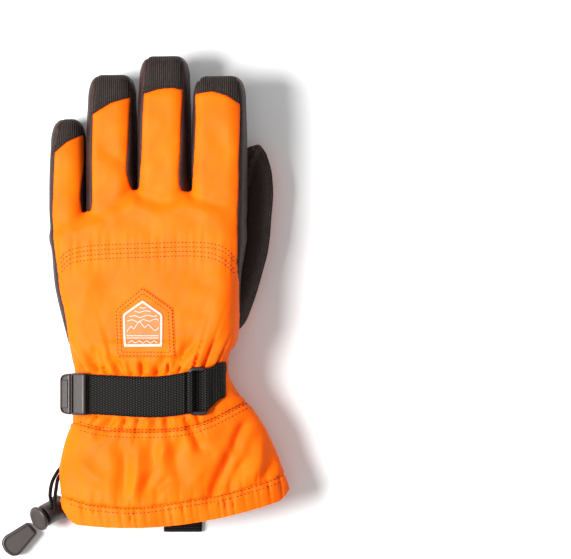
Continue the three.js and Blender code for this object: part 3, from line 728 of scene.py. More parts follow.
# ---- folds, gathers and stitched grooves, as heights above the smooth surface ----
FOLDS = [  # from, to, half width and height of each fold on the upper side
    (43, -98.6, 24.6, -130.2, 3.2, -3.4), (10.4, -79.2, 23.6, -98.6, 2.8, -2.8),
    (-1.9, -92.5, -10.1, -115, 4, 2.2), (-19.3, -91, -22.3, -132.2, 4.5, 2),
    (-30.5, -96, -28.4, -131.2, 4, -1.8), (-38.7, -77, -44.7, -92, 2.6, -2.8),
    (-57, -104, -38.7, -122, 5, 1.4), (-6, -100, -18.2, -127, 3.6, -2),
    (49.1, -104.7, 36.9, -126.1, 3.4, -2.4), (34.8, -96, 14.4, -125, 6, 2.4),
    (49.1, -80, 43, -100, 3, -2.6), (-8, -128.1, 0.1, -116, 3, -1.8), (60, -92, 52, -118, 4, 1.8),
    (66, -104, 60, -120, 3, -1.6), (5, -90, 8, -118, 4, -1.4), (-50.1, -34, -43.6, -47.1, 3, -1.6),
    (-37, -37, -32.3, -51, 2.6, -2.1), (-14.5, -42, -22, -51.5, 2.5, -2),
    (0.6, -39, -9.7, -51.5, 2.6, -2.1), (15.6, -27, 1.5, -50.9, 2.8, -2.8),
    (33.4, -28, 20.1, -46.3, 3, -2.1), (9, 15, 24, 5.6, 4.9, -0.7), (3.4, -3.8, 26.1, -14.2, 5, -0.8),
    (-53, 21.5, -56.7, -32, 8.6, 0.8), (-40, 18, -42, -12, 6.2, -0.4), (38, 10, 30, -20, 6.2, 0.6),
    (5.8, 103.9, -9.6, 84.5, 5.5, -0.7), (-44.8, 95.3, -28.5, 81, 5.5, -0.6),
    (-22, 66.8, -36, 56, 3.7, -0.9), (-18.2, 67, -2.5, 56, 3.7, -0.9),
    (14.2, 65.9, 30.9, 55.3, 3.7, -0.9), (11, 65, -4, 62, 4.2, -0.7), (-52, 52, -62, 43, 3.7, -0.8),
    (-50, 53, -38, 45, 3.9, -0.7), (28, 112, 38, 84, 6.2, -0.4), (-66, 84, -60, 62, 4.9, -0.4),
    (40, 64, 34, 44, 4.9, -0.6), (-12, 118, -4, 106, 4.9, 0.3), (-44, 95, -27, 81, 4, -0.7),
    (1.8, 96, -14, 80, 4, 0.7), (24, 104, 42, 88, 5, -0.5), (30, 62, 44, 50, 4, -0.8),
    (-30, 50, -8, 40, 5, -0.6), (2, 52, 22, 44, 5, -0.6), (-62, 96, -70, 78, 4, -0.5),
    (8, 0, 40, 12, 5, -0.6),
]
UPPER_ROW = [(-71.5, 20), (-67, 26), (-62.3, 29), (-50, 31.5), (-20, 32.8), (28.7, 32.8), (46, 21)]
LOWER_ROW = [(-71.3, 13.5), (-66, 20.5), (-60.5, 24), (-45, 26), (-20, 27), (26, 27), (46, 14)]
ROW_GAP = 2.9
GROOVES = [(HEM_SEAM, -0.4), (HEM_SEAM, -3.2), (UPPER_SEAM, 1.2), (UPPER_SEAM, -0.4), (UPPER_SEAM, -3.8)]
KNUCKLE_GROOVES = [(UPPER_ROW, 0), (UPPER_ROW, -ROW_GAP), (LOWER_ROW, 0), (LOWER_ROW, -ROW_GAP)]


def fold_height(x, y):
    total = np.zeros_like(x)
    for x0, y0, x1, y1, width, height in FOLDS:
        length = math.hypot(x1 - x0, y1 - y0)
        ux, uy = (x1 - x0) / length, (y1 - y0) / length
        t = ((x - x0) * ux + (y - y0) * uy) / length
        d = ((x - x0) * -uy + (y - y0) * ux + 1.6 * np.sin(3 * t + height * 5)) / width
        fade = ease(t, -0.12, 0.25) * (1 - ease(t, 0.72, 1.15))
        total += height * fade * (np.exp(-np.abs(d) ** 1.6) - 0.3 * np.exp(-((np.abs(d) - 1.9) ** 2)))
    return total


def gathers(position, phase, pitch):
    """Irregular pleats: round tops with narrow valleys between them."""
    w = position + 1.1 * np.sin(position * 0.31 + phase) + 0.8 * np.sin(position * 0.77 + 2 * phase)
    return 1 - 2 * (1 - np.abs(np.sin(np.pi * w / pitch))) ** 1.6


def soft_noise(x, y, z, size):
    a, b, c = x / size, y / size, z / size
    first = np.sin(1.3 * a + 2.1 * np.sin(0.9 * b) + 0.4 * c)
    second = np.sin(1.7 * b - 1.3 * np.sin(1.1 * a + 1) + 0.7 * c)
    return (first + second + 0.6 * np.sin(2.9 * a - 2.3 * b + 1.9 * c + 2)) / 2.6


def groove(distance, width=0.9, depth=0.4):
    return -depth * np.exp(-((distance / width) ** 2))


def double_ridge(distance, gap, width, height, depth):
    """Two raised edges with a seam sunk between them."""
    return height * np.exp(-(((distance - gap) / width) ** 2)) - depth * np.exp(-((distance / width) ** 2))


def strap_gathers(x, y):
    """Pleats that fan out from the strap, and how firmly the strap holds the cloth down, from 0 to 1."""
    top, bottom = along(STRAP_TOP, x), along(STRAP_BOTTOM, x)
    above_strap, below_strap = y - top, bottom - y
    fan = (x + 8) / (1 + 0.014 * np.maximum(np.maximum(above_strap, below_strap), 0)) - 8
    uneven = 1 + 0.3 * np.sin(0.37 * fan + 1) + 0.15 * np.sin(0.9 * fan)
    uneven *= 1 - ease(x, -39, -34) * (1 - ease(x, 3, 8)) * ease(y, -45, -39)  # none under the badge
    reach = np.maximum(uneven, 0.4)
    over = np.exp(-np.maximum(above_strap - 2.5, 0) / (8 * reach)) * (above_strap > -1)
    under = np.exp(-np.maximum(below_strap - 2, 0) / (7 * reach)) * (below_strap > -1)
    edge = np.clip(np.minimum((fan + 58) / 8, (36 - fan) / 8), 0, 1)
    pleats = over * (gathers(fan, 0.4, 7.6) - 0.35) + 0.8 * under * (gathers(fan, 1.9, 8.8) - 0.35)
    held = ease(-below_strap, -2.5, 0.5) * (1 - ease(above_strap, -1, 2))
    return 3.0 * edge * pleats * uneven, held


def hem_pleats(x, y, facing):
    """The hem band's fine pleats and the cloth drawn in above it."""
    past = along(HEM_SEAM, x) - y
    fine = gathers(x + 0.15 * y, 1.1, 5.7) * (0.75 + 0.35 * np.sin(0.21 * x))
    height = 0.85 * fine * (1 - 0.5 * ease(past, 4, 13)) + 0.8
    on_band = ease(past, -1.5, 2.5) * height * (0.35 + 0.65 * facing)
    return on_band + 0.6 * np.exp(-np.maximum(-past, 0) / 6) * (past < 0) * gathers(x, 0.3, 7.9) * (y < -100)


def knuckle_puckers(x, y):
    total = sum(groove(y - along(line, x) - shift, 0.8, 0.35) for line, shift in KNUCKLE_GROOVES)
    middle = (along(UPPER_ROW, x) + along(LOWER_ROW, x)) / 2
    return total + np.exp(-(((y - middle) / 10) ** 2)) * 0.34 * gathers(x, 0.8, 6.1)


def cloth_noise(x, y, z):
    fine = 0.42 * soft_noise(x, y, z, 12) + 0.16 * soft_noise(x + 40, y * 0.6, z, 5)
    return fine + (y < -84) * 0.7 * soft_noise(x + 0.5 * y, y * 0.3, z, 9)


def leather_noise(x, y, z, size):
    return 0.22 * soft_noise(x, y, z, size) + 0.1 * soft_noise(x, y, z, 4)


def palm_creases(hand_x, y):
    """Creases across the inside of each finger's joint."""
    total = 0
    for left, right, _, hinge in FINGERS.values():
        inside = (hand_x > left - 0.8) & (hand_x < right + 0.8)
        waves = np.abs(np.sin((y - hinge) * 0.42 + 0.03 * hand_x)) ** 3
        total = total - 0.55 * inside * np.exp(-(((y - hinge + 2) / 11) ** 2)) * waves
    return total


def glove_relief(h, g, normal):
    """Height of the cloth and leather over the smooth surface, for points in the hand and glove frames."""
    x, y, z = g.T
    above, below = (ease(side * normal[:, 2], -0.05, 0.45) for side in (1, -1))
    pleats, held = strap_gathers(x, y)
    total = above * (fold_height(x, y) + pleats)
    elastic = ease(y, -84, -72) * (1 - ease(y, -52, -42))
    total += below * elastic * (0.9 * gathers(x, 2.4, 6.4) - 0.5)
    total = np.where((above > 0.5) & (held > 0), total * (1 - held) - 0.9 * held, total)
    total += hem_pleats(x, y, np.maximum(above, below))
    total += sum(groove(y - along(line, x) - shift) for line, shift in GROOVES)
    total += above * (y > -5) * (y < 60) * knuckle_puckers(x, y)
    total += above * (y < 128) * cloth_noise(x, y, z)
    ridge = double_ridge(line_distance(x, y, PALM_RIDGE), 2.2, 1.0, 0.9, 0.4)
    total += below * (y > -40) * (leather_noise(x, y, z, 9) + ridge + palm_creases(h[:, 0], y))
    total += below * (y < -84) * 0.55 * soft_noise(x, y * 0.6, z, 12)
    return np.clip(total, -3.2, 3)


# ---- panel borders: fields that are positive inside a panel ----
MIDDLES = [-54.05, -20.4, 15.1]  # where one finger ends and the next begins
CROTCHES = [53.6, 67.6, 66.4]
CAP_SEAMS = {
    "little": [(-80, 84), (-73.7, 91), (-65, 98.2), (-56, 102.3), (-50, 103)],
    "ring": [(-56, 110), (-48.8, 115.7), (-37, 122.8), (-24, 126.3), (-18, 127)],
    "middle": [(-24, 125.5), (-17, 128), (-6, 131.4), (3, 132), (14, 130.4)],
    "index": [(12, 126), (17.8, 128.3), (28, 129.7), (38, 126.6), (52, 118)],
}
CUTS = {name: hinge - 16 for name, (_, _, _, hinge) in FINGERS.items()}  # where a finger is cut off
EDGES = {  # (y, x) along the left and the right border of the cloth and the cap on each finger
    "little": ([(-120, -90), (-50, -64), (-38, -62.6), (-20, -65.5), (1, -69.7), (18, -71.8), (36, -74.2),
                (50, -74.9), (78, -74.1), (92, -73.1), (100, -71.5), (113, -68)],
               [(53.6, -55.2), (62, -55.9), (77, -54.8), (100, -53.6), (113, -54)]),
    "ring": ([(53.6, -50), (60, -49.1), (115, -49.1), (126, -48), (141, -45.6)],
             [(67.6, -23), (72, -25), (80, -26.4), (95, -25.6), (126, -23.9), (141, -24.4)]),
    "middle": ([(67.6, -20), (70, -18.8), (95, -17.3), (128, -16), (153, -13.4)],
               [(66.4, 9), (71, 7.4), (77, 6.9), (95, 8.2), (129, 9.6), (153, 8.8)]),
    "index": ([(66.4, 14.6), (70, 15.2), (95, 16.5), (127, 17), (141, 20.6)],
              [(-120, 90), (-24, 60), (-2, 48), (12, 44.8), (21, 44.3), (50, 44.9), (95, 45.7), (122, 46.2),
               (141, 44)]),
}


def border_x(name, side, y):
    ys, xs = np.array(EDGES[name][side], float).T
    return np.interp(y, ys, xs)


def strip_field(x, y):
    """Positive in the leather strips between the fingers."""
    widest = np.full(x.shape, -99.0)
    names = list(FINGERS)
    for left, right, crotch in zip(names, names[1:], CROTCHES):
        inside = np.minimum(x - border_x(left, 1, y), border_x(right, 0, y) - x)
        widest = np.maximum(widest, np.minimum(inside, y - crotch - 0.3))
    return widest


def side_height(x, y):
    left = 8.4 + 15.6 * ease(y, -50, -28)
    right = 8.4 + 6 * ease(y, -30, 20)
    return np.where(x < -66, np.minimum(left, 15), np.where(x > 38, right, 15.0))


def back_field(values):
    x, y, z = values[:, HAND].T
    glove_x, glove_y, glove_z = values[:, SMOOTH].T
    outer = np.minimum(glove_x - border_x("little", 0, y), border_x("index", 1, y) - glove_x)
    hand = np.minimum(np.minimum(z - side_height(x, y), outer), -strip_field(glove_x, y))
    left_x, _, left_z, right_x, _, right_z, _, _ = section_values(section_at(glove_x, glove_y))
    cuff = glove_z - (left_z + (right_z - left_z) * (glove_x - left_x) / (right_x - left_x))
    share = ease(-y, 28, 50)
    return hand * (1 - share) + cuff * share


def front_field(values):
    return SIDE_SPLIT - values[:, 5]


def wrist_field(values):
    x, y, _ = values[:, SMOOTH].T
    seam = y + 40 - 1.3 * np.sin(x / 10)
    return np.minimum(seam, np.maximum(15 - x, y + 10))  # the cloth runs on to the thumb's root


def beyond(line, offset=0.0):
    """A field that is positive on the fingers' side of a line over the plan."""
    return lambda values: values[:, 10] - along(line, values[:, 9]) - offset


upper_field, hem_field, knuckle_field = beyond(UPPER_SEAM), beyond(HEM_SEAM), beyond(LOWER_ROW, ROW_GAP / 2)


def hem_end_field(values):
    return values[:, 10] - hem_line(values[:, 9])


def within(axis, low, high):
    """A field that is positive between two values of a column."""
    return lambda values: np.minimum(values[:, axis] - low, high - values[:, axis])


def finger_field(name):
    i = list(FINGERS).index(name)
    low, high = [-FAR, *MIDDLES, FAR][i:i + 2]
    return lambda values: np.minimum(values[:, 4] - CUTS[name], within(3, low, high)(values))


def negative(field):
    return lambda values: -field(values)


def pick(part, *fields):
    values, faces = part
    for field in fields:
        if len(faces):
            values, faces = clip(values, faces, field(values))
    return values, faces


BODY_OF = {name: node["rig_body"] for name, node in frame["nodes"].items()}
SEAM_ROUND = 1.7  # how far from a seam its rounding starts


def seamless(values):
    """Where a border is only the split between the hand and a finger, and not a seam."""
    x, y = values[:, 3], values[:, 4]
    limits = [-FAR, *MIDDLES, FAR]
    found = np.zeros(len(values), bool)
    for name, low, high in zip(FINGERS, limits, limits[1:]):
        found |= (np.abs(y - CUTS[name]) < 0.13) & (x > low) & (x < high)
    return found


def panel(name, part, material, slot, replaced, bend=None, sink=0.7, depth=1.5, keep_edge=None, lift=0.0):
    """A piece of cloth or leather, sunk by sink along its seams, with its edge turned in by depth."""
    values, faces = part
    points = values[:, PLACE] + values[:, OUT] * lift
    edges = border_edges(faces)
    kept = seamless(values)
    if keep_edge is not None:
        kept |= keep_edge(values)
    lowered = np.unique(edges[~(kept[edges[:, 0]] & kept[edges[:, 1]])])
    if sink and len(lowered):
        finder = KDTree(len(lowered))
        for i, place in enumerate(values[lowered, SMOOTH]):
            finder.insert(place, i)
        finder.balance()
        away = np.array([finder.find(place)[2] for place in values[:, SMOOTH]])
        points -= values[:, OUT] * (sink * np.clip(1 - away / SEAM_ROUND, 0, 1) ** 2)[:, None]
    points, faces, rim = turned_in(points, faces, values[:, OUT], depth)
    rest = np.vstack([values[:, SMOOTH], values[rim, SMOOTH]])
    return attach(place_object(name, points, faces, material, rest, sharp=62), replaced, "hand", bend)


def attach(made, replaced=(), body=None, bend=None):
    """Says which body a piece rides on, or bakes a bending piece's placement into its mesh, and hides the CAD
    nodes it replaces.
    """
    if bend:
        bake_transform(made)
    else:
        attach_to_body(made, BODY_OF[replaced[0]] if replaced else body)
    if replaced:
        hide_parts(*replaced)
    return made


def finger_bend(name):
    hinge = FINGERS[name][3]
    return ("hand", f"{name}_tip", hinge - 14, hinge + 14)


WRIST_BEND = ("hand", "cuff", -29, -52)  # the two bodies, and the y from which and to which the piece bends
THUMB_BEND = ("hand", "thumb", -22, 14)


# ---- threads ----
def look_up(tree, x, y, side=1):
    """The surface point and outward direction over a point of the plan, from above (1) or below (-1)."""
    hit, direction, _, _ = tree.ray_cast(Vector((x, y, 200 * side)), Vector((0, 0, -side)))
    if hit is None:
        return None
    if direction.z * side < 0:
        direction = -direction
    return np.array(hit), np.array(direction)


def spaced(line, pitch):
    p = np.array(line, float)
    length = np.concatenate([[0], np.cumsum(np.linalg.norm(np.diff(p, axis=0), axis=1))])
    marks = np.arange(pitch / 2, length[-1], pitch)
    return np.stack([np.interp(marks, length, p[:, i]) for i in range(p.shape[1])], 1)


def stitch_mesh(tree, rows, side=1, pitch=2.5, length=1.75, radius=0.31, lift=0.03):
    """Separate short stitches laid along each row of plan points."""
    rings = {-0.5: 0.15, -0.3: 0.85, 0.0: 1.0, 0.3: 0.85, 0.5: 0.15}  # thickness at places along a stitch
    sides = 5
    points, faces = [], []
    for row in rows:
        marks = spaced(row, pitch)
        for i, (x, y) in enumerate(marks):
            found = look_up(tree, x, y, side)
            if found is None:
                continue
            centre, up = found
            ahead = marks[min(i + 1, len(marks) - 1)] - marks[max(i - 1, 0)]
            tangent = np.array([ahead[0], ahead[1], 0.0])
            tangent -= up * (tangent @ up)
            tangent /= max(np.linalg.norm(tangent), 1e-9)
            other = np.cross(up, tangent)
            base = len(points)
            for place, size in rings.items():
                middle = centre + up * (lift - 0.9 * radius * (2 * place) ** 2) + tangent * place * length
                for k in range(sides):
                    angle = 2 * math.pi * k / sides
                    points.append(middle + radius * size * (math.cos(angle) * up + math.sin(angle) * other))
            for start in range(base, len(points) - sides, sides):
                for k in range(sides):
                    a, b = start + k, start + (k + 1) % sides
                    faces.append((a, b, b + sides, a + sides))
            first = [base + k for k in range(sides)][::-1]
            last = [len(points) - sides + k for k in range(sides)]
            for a, b, c, d, e in (first, last):
                faces += [(a, b, c, d), (a, d, e, e)]
    return np.array(points), np.array(faces)


def stitches(name, tree, rows, material, slot, body=None, bend=None, replaced=(), **look):
    points, faces = stitch_mesh(tree, rows, **look)
    attach(place_object(name, points, faces, material), replaced, body, bend)


def shifted(line, dy, x0=-FAR, x1=FAR):
    p = smooth_line(line)
    p[:, 1] += dy
    return p[(p[:, 0] > x0) & (p[:, 0] < x1)]


def closed(outline, depth=0.0):
    """A closed outline moved inwards, as an open list of points that comes back to its start."""
    p = np.array(outline, float)
    out = []
    for i, point in enumerate(p):
        before, after = p[i - 1], p[(i + 1) % len(p)]
        a = np.array([point[1] - before[1], before[0] - point[0]])
        b = np.array([after[1] - point[1], point[0] - after[0]])
        a, b = a / np.linalg.norm(a), b / np.linalg.norm(b)
        bisector = (a + b) / np.linalg.norm(a + b)
        out.append(point - bisector * depth / max(0.5, bisector @ a))
    return np.array([*out, out[0]])


# ---- swept and stacked solids ----
def sweep(loops, ring=False):
    """A closed solid through loops of equal length; a ring joins the last loop to the first."""
    count, faces = len(loops[0]), []
    for r in range(len(loops) if ring else len(loops) - 1):
        here, there = r * count, (r + 1) % len(loops) * count
        for k in range(count):
            following = (k + 1) % count
            faces.append((here + k, here + following, there + following, there + k))
    middles = [] if ring else [np.mean(loops[0], axis=0), np.mean(loops[-1], axis=0)]
    for end in range(len(middles)):
        middle, base = len(loops) * count + end, end * (len(loops) - 1) * count
        for k in range(count):
            a, b = base + k, base + (k + 1) % count
            faces.append((a, b, middle, middle) if end else (b, a, middle, middle))
    return np.vstack([*loops, *middles]), np.array(faces)


def tube(path, radius, sides=10, ring=False, flat=1.0):
    path = np.array(path, float)
    angles = 2 * np.pi * np.arange(sides) / sides
    loops, up = [], None
    for i in range(len(path)):
        ahead = path[(i + 1) % len(path)] if ring or i + 1 < len(path) else path[i]
        behind = path[i - 1] if ring or i else path[i]
        tangent = (ahead - behind) / max(np.linalg.norm(ahead - behind), 1e-9)
        if up is None:
            up = np.array([0, 0, 1.0]) if abs(tangent[2]) < 0.9 else np.array([1.0, 0, 0])
        up = up - tangent * (up @ tangent)
        up /= np.linalg.norm(up)
        other = np.cross(tangent, up)
        circle = np.cos(angles)[:, None] * up * flat + np.sin(angles)[:, None] * other
        loops.append(path[i] + radius * circle)
    return sweep(loops, ring)


def rounded_slab(outline, low, high, edge, steps=4):
    """A flat solid over a convex outline, with rounded edges."""
    corners = round_corners(outline, edge * 1.2)
    angles = np.linspace(0, math.pi / 2, steps + 1)
    levels = [(a, low + edge * (1 - math.sin(a))) for a in angles]
    levels += [(a, high - edge * (1 - math.sin(a))) for a in angles[::-1]]
    loops = []
    for angle, height in levels:
        flat = closed(corners, edge * (1 - math.cos(angle)))[:-1]
        loops.append(np.column_stack([flat, np.full(len(flat), height)]))
    return sweep(loops)


def round_corners(outline, radius, steps=3):
    p, out = np.array(outline, float), []
    for i, corner in enumerate(p):
        before, after = p[i - 1] - corner, p[(i + 1) % len(p)] - corner
        r = min(radius, np.linalg.norm(before) * 0.45, np.linalg.norm(after) * 0.45)
        a = corner + before / np.linalg.norm(before) * r
        b = corner + after / np.linalg.norm(after) * r
        for t in np.linspace(0, 1, steps + 1):
            out.append((1 - t) ** 2 * a + 2 * t * (1 - t) * corner + t * t * b)
    return np.array(out)


def turned_solid(profile, sides=36):
    """A solid of revolution about its own x axis."""
    angles = 2 * np.pi * np.arange(sides) / sides
    circle = np.column_stack([np.zeros(sides), np.cos(angles), np.sin(angles)])
    return sweep([circle * max(r, 0.02) + (x, 0, 0) for x, r in profile])


def turn_y(points, degrees):
    a = math.radians(degrees)
    x, y, z = points.T
    return np.column_stack([x * math.cos(a) + z * math.sin(a), y, -x * math.sin(a) + z * math.cos(a)])


def turn_z(points, degrees):
    a = math.radians(degrees)
    x, y, z = points.T
    return np.column_stack([x * math.cos(a) - y * math.sin(a), x * math.sin(a) + y * math.cos(a), z])


def solid(name, made, material, slot, replaced=(), body=None, place=None, sharp=35):
    """A piece from a solid in its own frame; place(points) moves it to where it sits in the glove frame."""
    points, faces = made
    placed = points if place is None else place(points)
    return attach(place_object(name, placed, faces, material, points, sharp), replaced, body)


def band(name, made, replaced=(), body=None, rest=None):
    """A piece of the black webbing."""
    points, faces = made
    attach(place_object(name, points, faces, WEBBING, rest), replaced, body)


# ---- the drawcord, built first ----
def make_cords():
    """Tubes along the drawcord's two strands, with their own braided finish."""
    sides, made = 12, {}
    for name, route in CORD_ROUTES.items():
        path = smooth_line([LEAD_IN[name], *route], 9)
        points, faces = tube(path, CORD_RADIUS, sides)
        length = np.concatenate([[0], np.cumsum(np.linalg.norm(np.diff(path, axis=0), axis=1))])
        around = np.tile(np.arange(sides) * 0.63, len(path))
        rest = np.zeros_like(points)
        rest[:len(around), :2] = np.column_stack([around, np.repeat(length, sides)])
        # the braid's lighter knots are painted highlight, as on the webbing
        piece = place_object(name + "_strand", points, faces, webbing("braided_cord_" + name, 1.26), rest)
        attach(piece, [name])
        made[name] = (piece, (path + SHIFT) * MM, length[-1] * MM)
    return made


make_camera()
CORDS = make_cords()
make_stage()

SHELL = shell_fabric()
PALM_LEATHER = leather("embossed_leather", (0.023, 0.0098, 0.0078), 1.15, 1.0, 0.5)
SIDE_LEATHER = leather("smooth_leather", (0.029, 0.0120, 0.0098), 2.4, 0.3, 0.45)
RIBBED = ribbed()
WEBBING = webbing()
FLEECE = fleece()
PLASTIC = moulded("moulded_plastic", (0.026, 0.0165, 0.0152))
DARK_PLASTIC = moulded("dark_plastic", (0.012, 0.010, 0.010), 0.4)
SEAM_THREAD = thread("seam_thread", (0.022, 0.005, 0.004))
LEATHER_THREAD = thread("leather_thread", (0.004, 0.003, 0.0025))
EDGE_THREAD = thread("edge_thread", (0.060, 0.006, 0.004))
WHITE_THREAD = thread("white_thread", (0.62, 0.56, 0.50))
BADGE_CLOTH = moulded("badge_cloth", (0.95, 0.14, 0.014), 0.6, 2.5)


# ---- the hand, the fingers, the wrist and the cuff ----
def build_finger(name, glove):
    bend = finger_bend(name)
    finger = pick(glove, finger_field(name))
    back, rest = pick(finger, back_field), pick(finger, negative(back_field))
    cap = beyond(CAP_SEAMS[name])
    panel(f"{name}_finger_back", pick(back, negative(cap)), SHELL, "shell", [f"{name}_back"], bend)
    panel(f"{name}_ribbed_cap", pick(back, cap), RIBBED, "ribbed_leather", [f"{name}_cap"], bend)
    panel(f"{name}_finger_front", pick(rest, front_field), PALM_LEATHER, "leather", [f"{name}_front"], bend)
    panel(f"{name}_finger_sides", pick(rest, negative(front_field)), SIDE_LEATHER, "leather",
          [f"{name}_gusset"], bend)


SIDE_STRIPS = {  # the strips' nodes, with the hand's x at which each one ends
    "little_outer_side": -66.4, "fourchette_little_ring": -37, "fourchette_ring_middle": -2.6,
    "fourchette_middle_index": 33, "index_outer_side": FAR,
}


def build_panels(whole):
    glove = pick(whole, hem_end_field)
    hand = glove
    for name in FINGERS:
        hand = pick(hand, negative(finger_field(name)))
    for name in FINGERS:
        build_finger(name, glove)
    upper, lower = pick(hand, back_field), pick(hand, negative(back_field))
    below_seam = pick(upper, negative(knuckle_field))

    def knuckle_seam(values):  # the cloth is one piece there, sewn through
        return np.abs(knuckle_field(values)) < 0.15
    panel("knuckle_panel", pick(upper, knuckle_field), SHELL, "shell", ["finger_backs"],
          keep_edge=knuckle_seam)
    panel("hand_back_panel", pick(below_seam, upper_field), SHELL, "shell", ["hand_back", "wrist_back"],
          WRIST_BEND, keep_edge=knuckle_seam)
    cuff = pick(below_seam, negative(upper_field), hem_field)
    panel("cuff_back_panel", cuff, SHELL, "shell", ["cuff_back"])
    palm, under = pick(lower, wrist_field), pick(lower, negative(wrist_field))
    panel("palm_panel", pick(palm, front_field), PALM_LEATHER, "leather", ["palm_leather"])
    sides, start = pick(palm, negative(front_field)), -FAR
    for name, end in SIDE_STRIPS.items():
        panel(name + "_panel", pick(sides, within(3, start, end)), SIDE_LEATHER, "leather", [name])
        start = end
    panel("wrist_palm_panel", pick(under, upper_field), SHELL, "shell", ["wrist_palm"], WRIST_BEND)
    panel("cuff_palm_panel", pick(under, negative(upper_field), hem_field), SHELL, "shell", ["cuff_palm"])
    panel("hem_band_panel", pick(glove, negative(hem_field)), SHELL, "shell", ["hem_band"], depth=3.4,
          sink=0.5, keep_edge=lambda values: hem_end_field(values) < 0.2)


def inner_surface(distance, low, high, step, level, plan=None):
    """The same rows as a skin's, for a surface that faces the inside."""
    h, faces = surface(distance, low, high, step, level, plan)
    g, faces = to_glove(h), faces[:, ::-1]
    return np.hstack([g, h, normals_of(g, faces), g]), faces


def build_lining():
    edges = {"sink": 0, "depth": 0.6}
    whole = inner_surface(glove_distance, (-84, -160, -32), (84, 155, 45), (2.3, 2.9, 2.3), -4.3, HAND_PLAN)
    whole = pick(whole, lambda values: hem_end_field(values) - 0.6)
    hand = whole
    for name in FINGERS:
        hand = pick(hand, negative(finger_field(name)))
        stall = pick(whole, finger_field(name))
        panel(f"{name}_lining", stall, FLEECE, "lining", [f"{name}_liner"], finger_bend(name), **edges)
    panel("hand_and_cuff_lining", hand, FLEECE, "lining", ["hand_liner", "cuff_liner"], WRIST_BEND, **edges)
    thumb = inner_surface(thumb_distance, (3, -32, -24), (68, 100, 6), (2.2, 2.8, 2.0), -3.4)
    panel("thumb_lining_piece", thumb, FLEECE, "lining", ["thumb_liner"], THUMB_BEND, **edges)


# ---- the thumb ----
def thumb_relief(h, g, normal):
    """The leather's unevenness, the seam round the thumb's edge and the raised seam along its upper side."""
    rim = np.abs(h[:, 2] - (THUMB_TOP + THUMB_LOW) / 2 - 2.2)
    lift = leather_noise(*g.T, 8)
    lift += 0.7 * np.exp(-(((rim - 1.3) / 0.8) ** 2)) - 0.6 * np.exp(-((rim / 0.7) ** 2))
    seam = line_distance(h[:, 0], h[:, 1], THUMB_RIDGE)
    ridge = 1.9 * np.exp(-((seam / 1.7) ** 2)) - 0.6 * np.exp(-(((seam - 3.6) / 1.3) ** 2))
    return lift + ease(normal[:, 2], 0, 0.4) * ridge


def thumb_back_field(values):
    """Positive in the cloth on the thumb's back, which faces down: a teardrop that runs on to the root."""
    x, y, z = values[:, HAND].T
    margin = np.min([np.hypot(x - cx, y - cy) - radius for cx, cy, radius in THUMB_PLAN], axis=0) + 3.2
    teardrop = np.minimum(-margin, -12.5 - z)
    root = np.minimum(-4 - y, -12.2 + 5.5 * ease(-y, 20, 28) - z)
    return np.maximum(teardrop, root)


def build_thumb():
    whole = skin(thumb_distance, (3, -34, -26), (70, 101, 8), (1.3, 1.7, 1.2), thumb_relief)
    panel("thumb_leather_panel", pick(whole, negative(thumb_back_field)), PALM_LEATHER, "leather",
          ["thumb_leather", "thumb_gusset"], THUMB_BEND)
    panel("thumb_back_panel", pick(whole, thumb_back_field), SHELL, "shell", ["thumb_back"], THUMB_BEND)


# ---- the stitching ----
def build_stitching(tree):
    rows = [shifted(line, dy, -69.5, 43.5) for line in (UPPER_ROW, LOWER_ROW) for dy in (0, -ROW_GAP)]
    stitches("knuckle_stitching", tree, rows, SEAM_THREAD, "shell", "hand", pitch=2.35)
    rows = [shifted(UPPER_SEAM, dy, -61, 55) for dy in (1.2, -0.6, -3.9)]
    rows += [shifted(HEM_SEAM, dy, -66.5, 73.5) for dy in (-0.4, -3.3)]
    for name, side in (("cuff_stitching", 1), ("cuff_palm_stitching", -1)):
        stitches(name, tree, rows, SEAM_THREAD, "shell", "cuff", side=side)
    rows = [[(x, dy + 1.3 * math.sin(x / 10)) for x in np.arange(-56, 34, 3)] for dy in (-42.5, -45.1)]
    stitches("wrist_stitching", tree, rows, SEAM_THREAD, "shell", bend=WRIST_BEND, side=-1)
    rows = [[(-50 + 2.1 * i, level + (1.6 if i % 2 else -1.6)) for i in range(39)]
            for level in (-56, -60, -64)]
    stitches("elastic_zigzag", tree, rows, SEAM_THREAD, "elastic", replaced=["wrist_elastic"], side=-1,
             pitch=2.6, length=2.3)
    for name, line in CAP_SEAMS.items():
        left, right, _, _ = FINGERS[name]
        limits = to_glove(np.array([[left + 3.9, 100, 26.5], [right - 3.9, 100, 26.5]]))[:, 0]
        rows = [shifted(line, dy, *limits) for dy in (1.3, 3.7)]
        bend = finger_bend(name)
        stitches(f"{name}_cap_stitching", tree, rows, LEATHER_THREAD, "ribbed_leather", bend=bend,
                 pitch=1.9, length=1.3, radius=0.42, lift=0.12)
        edge = [shifted(line, 0.1, *limits)]
        stitches(f"{name}_cap_edge", tree, edge, EDGE_THREAD, "ribbed_leather", bend=bend,
                 pitch=1.7, length=1.5, radius=0.36, lift=0.5)


